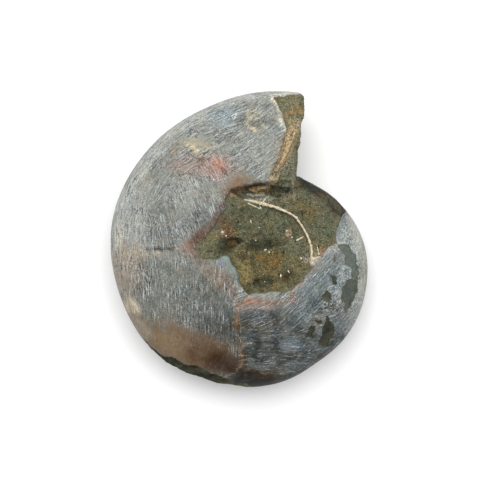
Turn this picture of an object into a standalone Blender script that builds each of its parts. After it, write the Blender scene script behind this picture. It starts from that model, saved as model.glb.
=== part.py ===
# Ammonite fossil, lying on its side: one stone, with the shell, the sediment that fills it and a calcite
# vein grown together. The coil is a logarithmic spiral round an upright axis. Its mouth is broken off,
# and the middle of the upper side is broken open down to an earlier turn.
#
# The frame is in metres, +Z up, with the length along Y. The origin is the middle of the base.
# The dimensions below are in millimetres and degrees, and make_ammonite turns them into metres.

import math

import bpy
import numpy as np
from mathutils import Vector, noise

MM = 0.001

# The coil
COIL_CENTRE = (7.6, -9.1)
MOUTH_ANGLE = 75.2          # where the outer turn ends, anticlockwise from +X
MOUTH_RADIUS = 70.0         # coil centre to the rim at the mouth
RADIUS_GROWTH = 1.846       # per turn
HALF_WIDTH = 20.6           # half the turn's thickness at the mouth
WIDTH_GROWTH = 1.42         # per turn
CREST_SHARE = 0.45          # where along the radius the turn is thickest
RIM_POWER = 2.35            # higher is a flatter flank and a rounder rim
# Slight swellings and flats of the rim: angle, spread, share of the radius
RIM_SWELLS = ((108, 15, -0.010), (164, 21, 0.017), (223, 18, 0.016), (252, 11, -0.012),
              (304, 12, -0.018), (338, 16, 0.010), (374, 24, 0.024), (424, 9, -0.012))

# The middle plane leans, so that the underside lies level and is ground flat where it rests
MIDDLE_HEIGHT = 18.5
MIDDLE_SLOPE = (-0.018, 0.054)
UMBILICUS_RADIUS = 9.0
UMBILICUS_DEPTH = 7.0
INNER_TURNS_RADIUS = 16.0   # inside this the turns run together

# The broken middle of the upper side: its outline, and spots of its floor with their height
WINDOW = ((11.5, 22.5), (2.2, 21.7), (-3.0, 18.9), (-4.6, 14.0), (-5.8, 10.0), (-9.8, 4.0), (-13.0, 0.0),
          (-17.0, -2.8), (-14.6, -7.6), (-8.6, -7.6), (-7.0, -6.0), (-4.2, -6.8), (-3.0, -9.2), (-0.6, -13.2),
          (0.2, -17.3), (3.0, -21.3), (6.6, -20.5), (17.5, -20.9), (21.5, -18.9), (25.5, -14.9), (29.1, -10.4),
          (31.5, -8.8), (34.3, -6.4), (38.0, -4.0), (38.8, 0.0), (39.1, 6.0), (40.6, 10.0), (46.0, 16.0),
          (40.0, 30.0), (24.0, 34.0), (21.9, 23.4))
FLOOR = ((-14, -4, 17.4), (-9, 1, 16.8), (-5, 7, 16.6), (-2, 14, 16.2), (4, 19, 15.2), (2, 6, 12.6),
         (4, 12, 13.4), (-3, -1, 12.4), (1, -1, 11.4), (8, -1, 11.4), (16, 3, 11.8), (2, -9, 13.4),
         (10, -7, 12.4), (18, -6, 12.4), (5, -17, 15.2), (14, -18, 15.4), (21, -14, 15.0), (26, -9, 14.6),
         (10, 10, 11.8), (18, 10, 11.4))
FLOOR_SPREAD = 3.6
WALL_WIDTH = 1.4
SHELL_THICKNESS = 1.0

# The mouth's break: its crest on the upper side and its foot at the rim, as radius and angle
MOUTH_CREST = ((31.8, 83.0), (37.2, 78.4), (42.5, 75.6), (51.0, 74.6), (60.8, 73.0), (70.0, 75.2))
MOUTH_FOOT = ((31.8, 66.5), (36.0, 66.0), (43.8, 70.1), (51.8, 72.1), (60.8, 73.0), (70.0, 75.2))
INNER_RADIUS = MOUTH_CREST[0][0]
# Beside the crest the shell is gone from the stone
MOUTH_BARE = ((24.4, 63.0), (24.0, 58.2), (18.0, 57.4), (13.0, 57.0), (14.2, 55.0), (15.9, 51.0), (17.1, 47.8),
              (18.3, 43.7), (17.9, 40.1), (15.9, 34.1), (13.4, 28.1), (11.4, 22.9), (24.0, 22.0), (30.0, 63.0))
MOUTH_FACING = -16.0        # the way the broken face looks, in degrees from +X
MOUTH_SET_BACK = 1.0        # the stone of the face, behind the shell's edge
FACE_STANDS_OUT = 0.4       # no lump of the face comes further forward than this

# The calcite vein
VEIN = ((1.8, 16.2), (6.0, 15.4), (10.9, 14.7), (14.6, 13.8), (18.3, 12.4), (22.3, 9.7), (25.0, 5.3),
        (27.0, 1.3), (28.3, -2.7), (28.4, -6.7), (28.8, -9.4))
VEIN_WIDTH = 1.1
VEIN_HEIGHT = 1.1
# Beyond the vein's two ends, where the lower floor runs out to the wall: angle and radius
CORE_ENDS = ((-7.0, 40.0), (128.0, 40.0))
# Blocks of stone left standing on the floor, and hollows in it, as outline and height
BLOCKS = ((((2.6, 21.6), (11.0, 21.9), (10.8, 19.6), (7.0, 18.6), (3.0, 19.2)), 4.0),
          (((1.4, 19.0), (10.7, 19.2), (10.6, 16.6), (5.0, 16.2), (1.0, 16.8)), 1.6),
          (((27.4, -7.6), (31.4, -6.0), (33.4, -7.6), (29.4, -10.6), (27.6, -9.6)), 1.3),
          (((17.4, 5.4), (21.0, 5.0), (22.0, 1.6), (18.6, 0.4), (16.6, 2.6)), 1.2),
          (((11.4, 22.0), (20.4, 21.0), (20.0, 18.4), (16.0, 17.2), (11.2, 17.0)), -2.6),
          (((-8.6, 1.2), (-0.6, 0.8), (0.0, -2.2), (-5.2, -4.4), (-8.8, -2.4)), -1.5))

# Where the shell has flaked off the stone: centre, half length, half width, turn of the long axis, depth
LOST_SHELL = ((43.4, -7.4, 7.4, 2.2, -58, 0.9), (43.8, -21.4, 7.4, 2.8, 68, 1.0),
              (37.2, -16.2, 2.6, 1.5, -50, 0.8), (34.3, -22.2, 2.4, 1.7, 80, 0.8),
              (34.4, -36.2, 6.6, 2.5, 68, 1.0), (28.2, -36.0, 3.4, 1.5, 72, 0.9))

# The upper edge of the lower left rim, broken away outside this line to bare stone
CHIP_LINE = ((-46.0, -34.0), (-35.9, -42.1), (-31.2, -46.1), (-27.2, -46.8), (-21.9, -49.5), (-17.2, -50.2),
             (-11.8, -52.8), (-6.5, -54.9), (-1.0, -56.8), (8.0, -59.5), (20.0, -70.0), (-60.0, -70.0))
CHIP_DEPTH = 1.3

# All of these edges are ragged
RAGGED_BY = 0.7
RAGGED_SIZE = 3.2

STONE_ROUGHNESS = 0.9
STONE_GRAIN = 5.0

# How finely the surface is laid out, before it is thinned where it is smooth
TURN_STEPS = 300
MOUTH_STEPS = 22
FLANK_STEPS = 50
RIM_STEPS = 40
UNDER_FLANK_STEPS = 30
UNDER_RIM_STEPS = 30
TRIANGLES = 9400

STONE_COLOUR = (0.27, 0.27, 0.24, 1.0)
STONE_SHINE = 0.5


def clear_scene():
    for obj in list(bpy.data.objects):
        bpy.data.objects.remove(obj, do_unlink=True)


def smooth_step(value):
    """0 to 1, with no corner at either end."""
    value = np.clip(value, 0.0, 1.0)
    return value * value * (3.0 - 2.0 * value)


def along(table, value):
    """Reads a two-column table as a line through its points."""
    return np.interp(value, [row[0] for row in table], [row[1] for row in table])


def distance_to_line(x, y, line):
    nearest = np.full(x.shape, 1e9)
    for (ax, ay), (bx, by) in zip(line, line[1:]):
        length2 = (bx - ax) ** 2 + (by - ay) ** 2
        share = np.clip(((x - ax) * (bx - ax) + (y - ay) * (by - ay)) / length2, 0.0, 1.0)
        nearest = np.minimum(nearest, np.hypot(x - ax - share * (bx - ax), y - ay - share * (by - ay)))
    return nearest


def depth_inside(x, y, outline):
    """Distance from the edge of a closed outline: positive inside it, negative outside."""
    closed = list(outline) + [outline[0]]
    within = np.zeros(x.shape, dtype=bool)
    for (ax, ay), (bx, by) in zip(closed, closed[1:]):
        crosses = (ay > y) != (by > y)
        run = (bx - ax) * (y - ay) / ((by - ay) or 1e-9) + ax
        within ^= crosses & (x < run)
    return np.where(within, 1.0, -1.0) * distance_to_line(x, y, closed)


def polar(radius, angle):
    angle = np.radians(angle)
    return COIL_CENTRE[0] + radius * np.cos(angle), COIL_CENTRE[1] + radius * np.sin(angle)


def to_polar(x, y):
    dx, dy = x - COIL_CENTRE[0], y - COIL_CENTRE[1]
    return np.hypot(dx, dy), np.degrees(np.arctan2(dy, dx))


def rim_radius(turn):
    """Radius of the rim, for how many turns a place lies back from the mouth."""
    angle = MOUTH_ANGLE + 360.0 * turn
    swell = sum(share * np.exp(-(((angle - centre) / spread) ** 2)) for centre, spread, share in RIM_SWELLS)
    return MOUTH_RADIUS * RADIUS_GROWTH ** (-turn) * (1.0 + swell)


def flank_height(radius, turn):
    """Height of the whole shell over the middle plane."""
    share = np.clip(radius / rim_radius(turn), 0.0, 1.0)
    outer = np.clip((share - CREST_SHARE) / (1.0 - CREST_SHARE), 0.0, 1.0)
    inner = np.clip((CREST_SHARE - share) / CREST_SHARE, 0.0, 1.0)
    profile = np.sqrt(1.0 - outer ** RIM_POWER) * (1.0 - 0.10 * inner ** 2)
    return HALF_WIDTH * WIDTH_GROWTH ** (-turn) * profile


def core_depth(x, y):
    """How far a point is on the inner side of the vein, where the floor is lower and rough."""
    radius, angle = to_polar(x, y)
    vein = sorted(tuple(reversed(to_polar(px, py))) for px, py in VEIN)
    return along([CORE_ENDS[0], *vein, CORE_ENDS[1]], angle) - radius


def floor_height(x, y):
    """Height of the broken floor: the earlier turn's flank, and inside the vein the rough core."""
    radius, angle = to_polar(x, y)
    earlier = flank_height(radius, 1.0 + (angle - MOUTH_ANGLE) / 360.0) - SHELL_THICKNESS
    total = np.full(x.shape, 1e-6)
    core = total * FLOOR[0][2]
    for spot_x, spot_y, spot_height in FLOOR:
        weight = np.exp(-((x - spot_x) ** 2 + (y - spot_y) ** 2) / (2 * FLOOR_SPREAD ** 2))
        total = total + weight
        core = core + weight * spot_height
    core = core / total
    height = earlier + (core - earlier) * smooth_step(core_depth(x, y) / 2.4 + 0.4)
    ridge = np.clip(1.0 - (distance_to_line(x, y, VEIN) / VEIN_WIDTH) ** 2, 0.0, 1.0)
    return height + VEIN_HEIGHT * np.sqrt(ridge)


def lumps(x, y, size, layers=4, level=0.0):
    """Even stone roughness, about -1 to 1, the same each time."""
    flat = [noise.fractal(Vector((px, py, level)) / size, 1.0, 2.1, layers) for px, py in zip(x.flat, y.flat)]
    return np.array(flat).reshape(x.shape)


def ragged(x, y):
    """Moves points about a little, so that an edge drawn through them is ragged."""
    return (x + RAGGED_BY * lumps(x, y, RAGGED_SIZE, 3, 11.0),
            y + RAGGED_BY * lumps(x, y, RAGGED_SIZE, 3, 47.0))


def blocks(x, y):
    height = np.zeros(x.shape)
    for outline, step in BLOCKS:
        height = height + step * smooth_step(depth_inside(x, y, outline) / 0.9)
    return height


def lost_shell(x, y):
    """Depth of the oval patches where the shell has flaked off."""
    depth = np.zeros(x.shape)
    for centre_x, centre_y, half_length, half_width, turn, step in LOST_SHELL:
        cos, sin = math.cos(math.radians(turn)), math.sin(math.radians(turn))
        run = ((x - centre_x) * cos + (y - centre_y) * sin) / half_length
        rise = ((y - centre_y) * cos - (x - centre_x) * sin) / half_width
        depth = np.maximum(depth, step * smooth_step((1.0 - np.hypot(run, rise)) * half_width / 0.7))
    return depth


def middle_height(x, y):
    return MIDDLE_HEIGHT + MIDDLE_SLOPE[0] * x + MIDDLE_SLOPE[1] * y


def side_height(x, y, height, upper):
    """Height over the base of points of the upper or the lower side."""
    middle = middle_height(x, y)
    if not upper:
        radius, _ = to_polar(x, y)
        return middle - height + UMBILICUS_DEPTH * np.exp(-((radius / UMBILICUS_RADIUS) ** 2))
    edge_x, edge_y = ragged(x, y)
    in_window = depth_inside(edge_x, edge_y, WINDOW)
    wall = smooth_step(in_window / WALL_WIDTH + 0.5)
    floor = np.minimum(floor_height(x, y) + blocks(edge_x, edge_y), height)
    floor = floor + STONE_ROUGHNESS * lumps(x, y, STONE_GRAIN) * smooth_step(in_window / 2.0)
    bare = SHELL_THICKNESS * smooth_step(depth_inside(edge_x, edge_y, MOUTH_BARE) / 0.8)
    chip = CHIP_DEPTH * smooth_step(depth_inside(edge_x, edge_y, CHIP_LINE) / 1.2)
    lost = np.maximum(np.maximum(lost_shell(edge_x, edge_y), bare), chip)
    shell = height - lost * smooth_step(height / 7.0)
    return middle + shell + (floor - shell) * wall


def inner_row(radius, coil, step, upper):
    """A ring at one radius. Its last columns close the circle under the mouth."""
    start, end = MOUTH_CREST[0][1], MOUTH_FOOT[0][1] + 360.0
    angle = np.concatenate([start + (end - start) * coil, end + (start + 360.0 - end) * step])
    x, y = polar(radius, angle)
    turn = np.concatenate([coil, 1.0 - step])
    turn = 0.5 + (turn - 0.5) * smooth_step(radius / INNER_TURNS_RADIUS)
    height = flank_height(radius, turn)
    return np.stack([x, y, side_height(x, y, height, upper)], axis=1)


def outer_row(share, coil, step, upper):
    """A ring from the mouth back to where the earlier turn comes out, then the mouth's broken face."""
    radius = INNER_RADIUS + (rim_radius(coil) - INNER_RADIUS) * share
    height = flank_height(radius, coil)
    foot = along(MOUTH_FOOT, radius[0])
    crest = along(MOUTH_CREST, radius[0])
    start = foot + (crest - foot) * smooth_step((height[0] / HALF_WIDTH - 0.1) / 0.8)
    end = along(MOUTH_FOOT, radius[-1]) + 360.0
    x, y = polar(radius, start + (end - start) * coil)
    ring = np.stack([x, y, side_height(x, y, height, upper)], axis=1)
    face = ring[-1] + (ring[0] - ring[-1]) * step[:, None]
    return np.concatenate([ring, face])


def side_rows(flank_steps, rim_steps, upper):
    """The rings of one side, from beside the coil's centre out to the rim."""
    coil = np.linspace(0.0, 1.0, TURN_STEPS)
    step = np.linspace(0.0, 1.0, MOUTH_STEPS + 2)[1:-1]
    inner = INNER_RADIUS * np.linspace(0.0, 1.0, flank_steps + 1)[1:-1]
    outer = np.sin(np.linspace(0.0, 1.0, rim_steps + 1) * math.pi / 2)
    return ([inner_row(radius, coil, step, upper) for radius in inner]
            + [outer_row(share, coil, step, upper) for share in outer])


def break_mouth(rings):
    """Sets the stone of the mouth's face back from the shell's edge, and makes it rough."""
    face = rings[:, TURN_STEPS:]
    share = np.arange(1, MOUTH_STEPS + 1) / (MOUTH_STEPS + 1)
    outer = smooth_step((to_polar(face[..., 0], face[..., 1])[0] - INNER_RADIUS) / 4.0)
    inset = smooth_step(np.minimum(share, 1.0 - share) / 0.12) * outer
    off_middle = np.abs(face[..., 2] - middle_height(face[..., 0], face[..., 1]))
    rough = lumps(face[..., 1], face[..., 2], 1.6 * STONE_GRAIN, 4, 5.0)
    push = (2.4 * STONE_ROUGHNESS * rough - MOUTH_SET_BACK) * inset * smooth_step(off_middle / 7.0)
    push = np.minimum(push, FACE_STANDS_OUT)
    face[..., 0] += push * math.cos(math.radians(MOUTH_FACING))
    face[..., 1] += push * math.sin(math.radians(MOUTH_FACING))


def coil_mesh():
    """The whole surface as one closed grid: upper side, rim, lower side, with a point at each pole."""
    upper = side_rows(FLANK_STEPS, RIM_STEPS, True)
    lower = side_rows(UNDER_FLANK_STEPS, UNDER_RIM_STEPS, False)[:-1]
    rings = np.array(upper + lower[::-1])
    break_mouth(rings)
    count = rings.shape[1]
    poles = [rings[0].mean(axis=0), rings[-1].mean(axis=0)]
    points = np.concatenate([rings.reshape(-1, 3), poles]) * MM
    top, bottom = len(points) - 2, len(points) - 1
    faces = []
    for row in range(len(rings) - 1):
        for column in range(count):
            after = (column + 1) % count
            faces.append((row * count + column, (row + 1) * count + column,
                          (row + 1) * count + after, row * count + after))
    last = (len(rings) - 1) * count
    for column in range(count):
        after = (column + 1) % count
        faces.append((top, column, after))
        faces.append((bottom, last + after, last + column))
    mesh = bpy.data.meshes.new("ammonite")
    mesh.from_pydata(points.tolist(), [], faces)
    return mesh


def stone_material():
    material = bpy.data.materials.new("fossilStone")
    material.use_nodes = True
    shader = material.node_tree.nodes["Principled BSDF"]
    shader.inputs["Base Color"].default_value = STONE_COLOUR
    shader.inputs["Roughness"].default_value = STONE_SHINE
    shader.inputs["Metallic"].default_value = 0.0
    return material


def ground_block():
    """What is ground off the underside, so that the stone lies flat."""
    bpy.ops.mesh.primitive_cube_add(size=0.2, location=(0.0, 0.0, -0.1))
    block = bpy.context.object
    block.name = "groundBlock"
    block.hide_render = True
    block.display_type = "WIRE"
    return block


def make_ammonite():
    mesh = coil_mesh()
    mesh.shade_smooth()
    mesh.set_sharp_from_angle(angle=math.radians(40))
    mesh.materials.append(stone_material())
    ammonite = bpy.data.objects.new("ammonite", mesh)
    bpy.context.scene.collection.objects.link(ammonite)
    thin = ammonite.modifiers.new("thin", "DECIMATE")
    thin.ratio = TRIANGLES / sum(len(face.vertices) - 2 for face in mesh.polygons)
    grind = ammonite.modifiers.new("grind", "BOOLEAN")
    grind.operation = "DIFFERENCE"
    grind.object = ground_block()
    return ammonite


clear_scene()
make_ammonite()
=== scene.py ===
# Ammonite fossil, dressed: a ground grey shell over sediment stone, broken open in the middle.
# Shapes are worked out in millimetres, and become metres when their mesh is made.

import math

import bmesh
import bpy
import numpy as np
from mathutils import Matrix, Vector, noise
from mathutils.bvhtree import BVHTree


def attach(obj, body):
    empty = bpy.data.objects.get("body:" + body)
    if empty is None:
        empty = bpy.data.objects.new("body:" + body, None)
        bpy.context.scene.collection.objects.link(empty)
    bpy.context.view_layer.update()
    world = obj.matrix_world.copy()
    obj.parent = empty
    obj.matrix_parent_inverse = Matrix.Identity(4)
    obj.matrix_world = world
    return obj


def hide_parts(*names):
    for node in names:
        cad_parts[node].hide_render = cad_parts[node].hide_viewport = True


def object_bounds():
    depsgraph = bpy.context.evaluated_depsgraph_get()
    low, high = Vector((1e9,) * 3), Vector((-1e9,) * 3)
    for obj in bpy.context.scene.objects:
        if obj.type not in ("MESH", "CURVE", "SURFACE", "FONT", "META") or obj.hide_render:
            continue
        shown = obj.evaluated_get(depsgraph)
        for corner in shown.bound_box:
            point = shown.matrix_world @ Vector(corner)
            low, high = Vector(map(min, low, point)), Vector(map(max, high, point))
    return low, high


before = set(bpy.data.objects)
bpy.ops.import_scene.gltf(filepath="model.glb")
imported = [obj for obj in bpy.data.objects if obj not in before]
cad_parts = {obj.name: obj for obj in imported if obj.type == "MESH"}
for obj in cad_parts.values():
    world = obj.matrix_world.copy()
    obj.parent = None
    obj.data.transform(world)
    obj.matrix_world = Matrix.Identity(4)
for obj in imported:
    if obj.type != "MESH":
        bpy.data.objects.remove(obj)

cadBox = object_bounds()
mm = 0.001

# The picture that places were picked in: millimetres to a pixel, the place of the origin, and the width
picture = {
    "pixel": 0.4013,
    "middle": (239.5, 240.0),
    "width": 480,
}

# The coil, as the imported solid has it: a logarithmic spiral round an upright axis
coil = {
    "centre": (7.6, -9.1),
    "mouthAngle": 75.2,         # the rim's end, anticlockwise from +X
    "mouthRadius": 70.0,
    "radiusGrowth": 1.846,      # per turn
    "halfWidth": 20.6,
    "widthGrowth": 1.42,
    "crestShare": 0.45,
    "rimPower": 2.35,
    "innerRadius": 31.8,        # inside this the rings run right round, under the mouth
    "innerStart": 83.0,
    "stepAngle": 16.5,          # the earlier turn comes out this far short of the mouth
    "innerTurns": 16.0,
    "middleHeight": 18.5,
    "middleSlope": (-0.018, 0.054),
    "umbilicus": (9.0, 7.0),
    # angle, spread, share of the radius
    "swells": ((108, 15, -0.010), (164, 21, 0.017), (223, 18, 0.016), (252, 11, -0.012),
               (304, 12, -0.018), (338, 16, 0.010), (374, 24, 0.024), (424, 9, -0.012)),
    "flankFrom": 7.0,           # from this height up the flank is broken and uneven
    "turnSteps": 560,
    "mouthSteps": 56,
    "flankSteps": 92,
    "rimSteps": 78,
    "underFlankSteps": 34,
    "underRimSteps": 44,
    "triangles": 188000,
}

# The broken middle of the upper side
window = {
    "outline": ((11.5, 22.5), (2.2, 21.7), (-2.8, 19.4), (-5.2, 16.6), (-6.4, 12.4), (-8.4, 8.8),
                (-10.6, 4.6), (-14.0, 1.0), (-17.0, -1.4), (-17.4, -4.4), (-15.2, -7.2), (-12.4, -7.6),
                (-8.6, -7.6), (-7.0, -6.0), (-4.2, -6.8), (-3.0, -9.2), (-0.6, -13.2), (0.2, -17.3),
                (3.0, -21.3), (6.6, -20.5), (17.5, -20.9), (21.5, -18.9), (25.5, -14.9), (28.3, -11.6),
                (30.3, -8.4), (32.8, -6.0), (34.3, -4.8), (34.8, -3.0), (38.4, -1.0), (38.6, 4.0),
                (40.2, 9.0), (46.0, 16.0), (40.0, 30.0), (24.0, 34.0), (21.9, 23.4)),
    # spots of the rough core: x, y, height over the middle plane
    "floor": ((-14, -4, 18.2), (-10, 2, 17.8), (-6, 8, 17.8), (-3, 14, 18.2), (3, 19, 18.6), (2, 6, 12.6),
              (4, 12, 13.4), (-3, -1, 12.4), (1, -1, 11.4), (8, -1, 11.4), (16, 3, 11.8), (2, -9, 13.4),
              (10, -7, 12.4), (18, -6, 12.4), (5, -17, 15.2), (14, -18, 15.4), (21, -14, 15.0),
              (26, -9, 14.6), (10, 10, 11.8), (18, 10, 11.4)),
    "floorSpread": 3.6,
    # the core's edge: softness, and how far in it stands at the vein; the vein's seat: half width, height
    "coreEdge": (1.6, 0.4),
    "veinSeat": (1.0, 0.7),
    "wallWidth": 0.9,
    "shell": 1.0,
    "vein": ((1.6, 15.8), (6.0, 15.0), (10.9, 13.9), (14.6, 12.9), (18.8, 10.9), (22.3, 8.9), (25.0, 4.9),
             (27.0, 0.9), (28.3, -3.1), (28.3, -6.7), (28.8, -9.6)),
    "coreEnds": ((-7.0, 40.0), (128.0, 40.0)),
    # blocks left standing, and hollows, as outline and height
    "blocks": ((((2.6, 21.6), (11.0, 21.9), (10.8, 19.6), (7.0, 18.6), (3.0, 19.2)), 4.4),
               (((1.4, 19.0), (10.7, 19.2), (10.6, 16.6), (5.0, 16.2), (1.0, 16.8)), 1.8),
               (((27.4, -7.6), (31.4, -6.0), (33.4, -7.6), (29.4, -10.6), (27.6, -9.6)), 1.3),
               (((17.4, 5.4), (21.0, 5.0), (22.0, 1.6), (18.6, 0.4), (16.6, 2.6)), 1.2),
               (((11.4, 22.0), (20.4, 21.0), (20.0, 18.4), (16.0, 17.2), (11.2, 17.0)), -2.6),
               (((-8.6, 1.2), (-0.6, 0.8), (0.0, -2.2), (-5.2, -4.4), (-8.8, -2.4)), -1.5),
               (((3.6, 2.8), (15.6, 2.0), (14.4, -1.6), (4.4, -1.4)), -0.9),
               (((5.4, -15.0), (10.4, -14.6), (9.6, -17.0), (5.8, -17.4)), -1.0)),
    "blockEdge": 0.8,
    "below": 0.3,               # the floor lies at least this far below the flank
    "roughFrom": 1.5,
    "grain": 5.0,
    "roughness": 0.9,
    # the fine roughness: size, height on the earlier turn, and how much more in the core
    "fineGrain": (1.3, 0.10, 0.22),
}

# The broken mouth: crest and foot of its face as radius and angle, where the shell is gone beside it,
# and the face's coarse and fine lumps as size and height
mouth = {
    "crest": ((31.8, 83.0), (37.2, 78.4), (42.5, 75.6), (51.0, 74.6), (60.8, 73.0), (68.8, 75.0),
              (69.8, 76.8)),
    "foot": ((31.8, 66.5), (36.0, 66.0), (43.8, 70.1), (51.8, 72.1), (60.8, 73.0), (68.8, 75.0),
             (69.8, 76.8)),
    "facing": -16.0,
    "setBack": 1.0,
    "standsOut": 0.05,
    "edgeShare": 0.10,          # so much of the face's width on each side stays at the shell's edge
    "lumps": ((8.0, 2.2), (1.6, 0.35)),
    "bare": ((24.4, 63.0), (24.0, 58.2), (18.0, 57.4), (13.0, 57.0), (14.2, 55.0), (15.9, 51.0),
             (17.1, 47.8), (18.3, 43.7), (17.9, 40.1), (15.9, 34.1), (13.4, 28.1), (11.4, 22.9),
             (24.0, 22.0), (30.0, 63.0)),
}

# Bare stone elsewhere: patches where the shell has flaked off, and the chipped lower left rim
bare = {
    # outline in the picture, and depth
    "flaked": (
        (((336.3, 245.6), (341.3, 245), (346.3, 245.6), (350, 251.3), (353.8, 255), (355, 258.8),
          (356.9, 266.3), (356.3, 275), (355, 280), (353.1, 278.8), (350, 275), (351.3, 270),
          (348.1, 266.3), (343.8, 263.8), (341.3, 257.5), (343.1, 255), (338.8, 251.3)), 0.7),
        (((345, 280), (350, 277.5), (355.6, 280), (356.5, 285), (355, 292.5), (351.9, 298.8),
          (349.4, 305), (345, 311.9), (342.5, 307.5), (341.9, 302.5), (339.4, 298.1), (341.3, 292.5),
          (340, 288.8), (344.4, 283.8)), 0.9),
        (((328.1, 274), (332.5, 276.5), (336, 278), (336, 285.6), (332, 286), (331, 281)), 0.7),
        (((324.4, 289.4), (328.6, 293.4), (329.4, 299.4), (321.4, 300), (320.8, 294)), 0.7),
        (((325, 314), (328, 317), (328.6, 321.5), (333.2, 324.6), (333.2, 330.4), (331.2, 336.6),
          (328, 341.8), (324.8, 344.4), (318.4, 345), (317, 341), (320.2, 336), (320.6, 330),
          (320.6, 325), (324, 321)), 0.9),
        (((309, 322.6), (313.6, 324.6), (313, 330.2), (311.8, 337), (303.8, 334.4), (307.6, 330),
          (307.6, 326)), 0.7),
        (((315, 318.6), (320.4, 318), (320.6, 320.6), (316, 321.4)), 0.5),
        (((326.6, 304.8), (329.6, 305), (329.4, 307.4), (326.6, 307.2)), 0.5),
        (((332.2, 304.4), (335, 304.6), (335, 307.6), (332.2, 307.4)), 0.5),
        (((331.6, 258.4), (334.6, 258.6), (334.4, 261.8), (331.6, 261.6)), 0.5),
        (((331, 265.4), (333.6, 265.4), (333.6, 267.6), (331.2, 267.4)), 0.4),
    ),
    "chipLine": ((-46.0, -34.0), (-35.9, -42.1), (-31.2, -46.1), (-27.2, -46.8), (-21.9, -49.5),
                 (-17.2, -50.2), (-11.8, -52.8), (-6.5, -54.9), (-1.0, -56.8), (8.0, -59.5),
                 (20.0, -70.0), (-60.0, -70.0)),
    "chipDepth": 1.3,
    "chipMargin": 2.0,
    # the broken rim: least step back, its hackly part, and how much more away from the middle plane
    "chipStep": (0.15, 0.55, 0.6),
    # how far the chip runs below the middle plane: angle of its middle, half its spread, and how deep there
    "chipReach": (-119.0, 27.0, 8.0),
    # elsewhere bare stone ends so far below the middle plane, on a ragged line: swing, size, softness
    "reach": 7.0,
    "lowerEdge": (2.4, 6.0, 1.2),
    "umbilicus": 6.5,
    "patchGrain": 0.12,
    "raggedBy": 0.7,
    "raggedSize": 3.2,
}

# Cracks and pits: points, width, depth
marks = {
    "cracks": ((((-37.1, -3.4), (-31.0, -3.6), (-25.9, -3.2)), 0.45, 0.5),
               (((-51.0, -2.2), (-44.0, -2.6), (-36.0, -2.5)), 0.3, 0.2),
               (((-13.6, -7.3), (-8.4, -7.2)), 0.4, 0.5),
               (((17.9, 38.1), (16.4, 34.0), (15.0, 30.1), (13.0, 26.1), (11.4, 22.9)), 0.5, 0.6),
               (((0.6, 21.8), (4.6, 22.6), (11.2, 22.6)), 0.6, 0.9),
               (((-1.0, -20.9), (-1.4, -28.1), (-1.3, -34.1), (-0.6, -40.1), (0.2, -44.1), (0.1, -49.0),
                 (-1.4, -53.0), (-3.0, -55.4)), 0.35, 0.25),
               (((22.4, 22.4), (22.2, 18.0), (21.8, 14.2)), 0.5, 0.7)),
    "ridges": ((((21.4, 24.0), (21.0, 18.0), (20.9, 14.6)), 0.7, 0.9),),
    # centre, radius, depth
    "pits": ((-24.5, -38.9, 0.8, 0.7), (-27.1, -41.3, 0.45, 0.4), (-26.1, -42.5, 0.4, 0.4),
             (-14.6, 32.1, 1.3, 0.25), (18.3, -14.8, 0.8, 0.6), (7.0, -16.1, 0.9, 0.6),
             (33.0, -7.0, 0.6, 0.4)),
    "unevenBy": 0.28,
    "unevenSize": 17.0,
}


def smoothStep(value):
    value = np.clip(value, 0.0, 1.0)
    return value * value * (3.0 - 2.0 * value)


def along(table, value):
    return np.interp(value, [row[0] for row in table], [row[1] for row in table])


def fromPicture(points):
    # points of the picture in millimetres, to a tenth
    middleX, middleY = picture["middle"]
    return tuple((round((px - middleX) * picture["pixel"], 1), round((middleY - py) * picture["pixel"], 1))
                 for px, py in points)


def distanceToLine(x, y, line):
    nearest = np.full(x.shape, 1e9)
    for (ax, ay), (bx, by) in zip(line, line[1:]):
        length2 = (bx - ax) ** 2 + (by - ay) ** 2
        share = np.clip(((x - ax) * (bx - ax) + (y - ay) * (by - ay)) / length2, 0.0, 1.0)
        nearest = np.minimum(nearest, np.hypot(x - ax - share * (bx - ax), y - ay - share * (by - ay)))
    return nearest


def depthInside(x, y, outline):
    # distance from a closed outline's edge, positive inside it
    closed = list(outline) + [outline[0]]
    within = np.zeros(x.shape, dtype=bool)
    for (ax, ay), (bx, by) in zip(closed, closed[1:]):
        crosses = (ay > y) != (by > y)
        within ^= crosses & (x < (bx - ax) * (y - ay) / ((by - ay) or 1e-9) + ax)
    return np.where(within, 1.0, -1.0) * distanceToLine(x, y, closed)


def ovalDepth(x, y, centreX, centreY, halfLength, halfWidth, turn):
    # about the distance from an oval's edge, positive inside it
    cos, sin = math.cos(math.radians(turn)), math.sin(math.radians(turn))
    run = ((x - centreX) * cos + (y - centreY) * sin) / halfLength
    rise = ((y - centreY) * cos - (x - centreX) * sin) / halfWidth
    return (1.0 - np.hypot(run, rise)) * min(halfLength, halfWidth)


def lumps(x, y, size, layers=4, level=0.0):
    # even roughness, about -1 to 1
    places = np.stack([x.ravel(), y.ravel(), np.broadcast_to(level, x.shape).ravel()], axis=1) / size
    return np.array([noise.fractal(place, 1.0, 2.1, layers) for place in places.tolist()]).reshape(x.shape)


def ragged(x, y):
    by, size = bare["raggedBy"], bare["raggedSize"]
    return x + by * lumps(x, y, size, 3, 11.0), y + by * lumps(x, y, size, 3, 47.0)


def toPolar(x, y):
    dx, dy = x - coil["centre"][0], y - coil["centre"][1]
    return np.hypot(dx, dy), np.degrees(np.arctan2(dy, dx))


def fromPolar(radius, angle):
    angle = np.radians(angle)
    return coil["centre"][0] + radius * np.cos(angle), coil["centre"][1] + radius * np.sin(angle)


def plainRim(turn):
    return coil["mouthRadius"] * coil["radiusGrowth"] ** (-turn)


def swell(turn):
    angle = coil["mouthAngle"] + 360.0 * turn
    swells = (share * np.exp(-(((angle - at) / spread) ** 2)) for at, spread, share in coil["swells"])
    return 1.0 + sum(swells)


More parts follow.
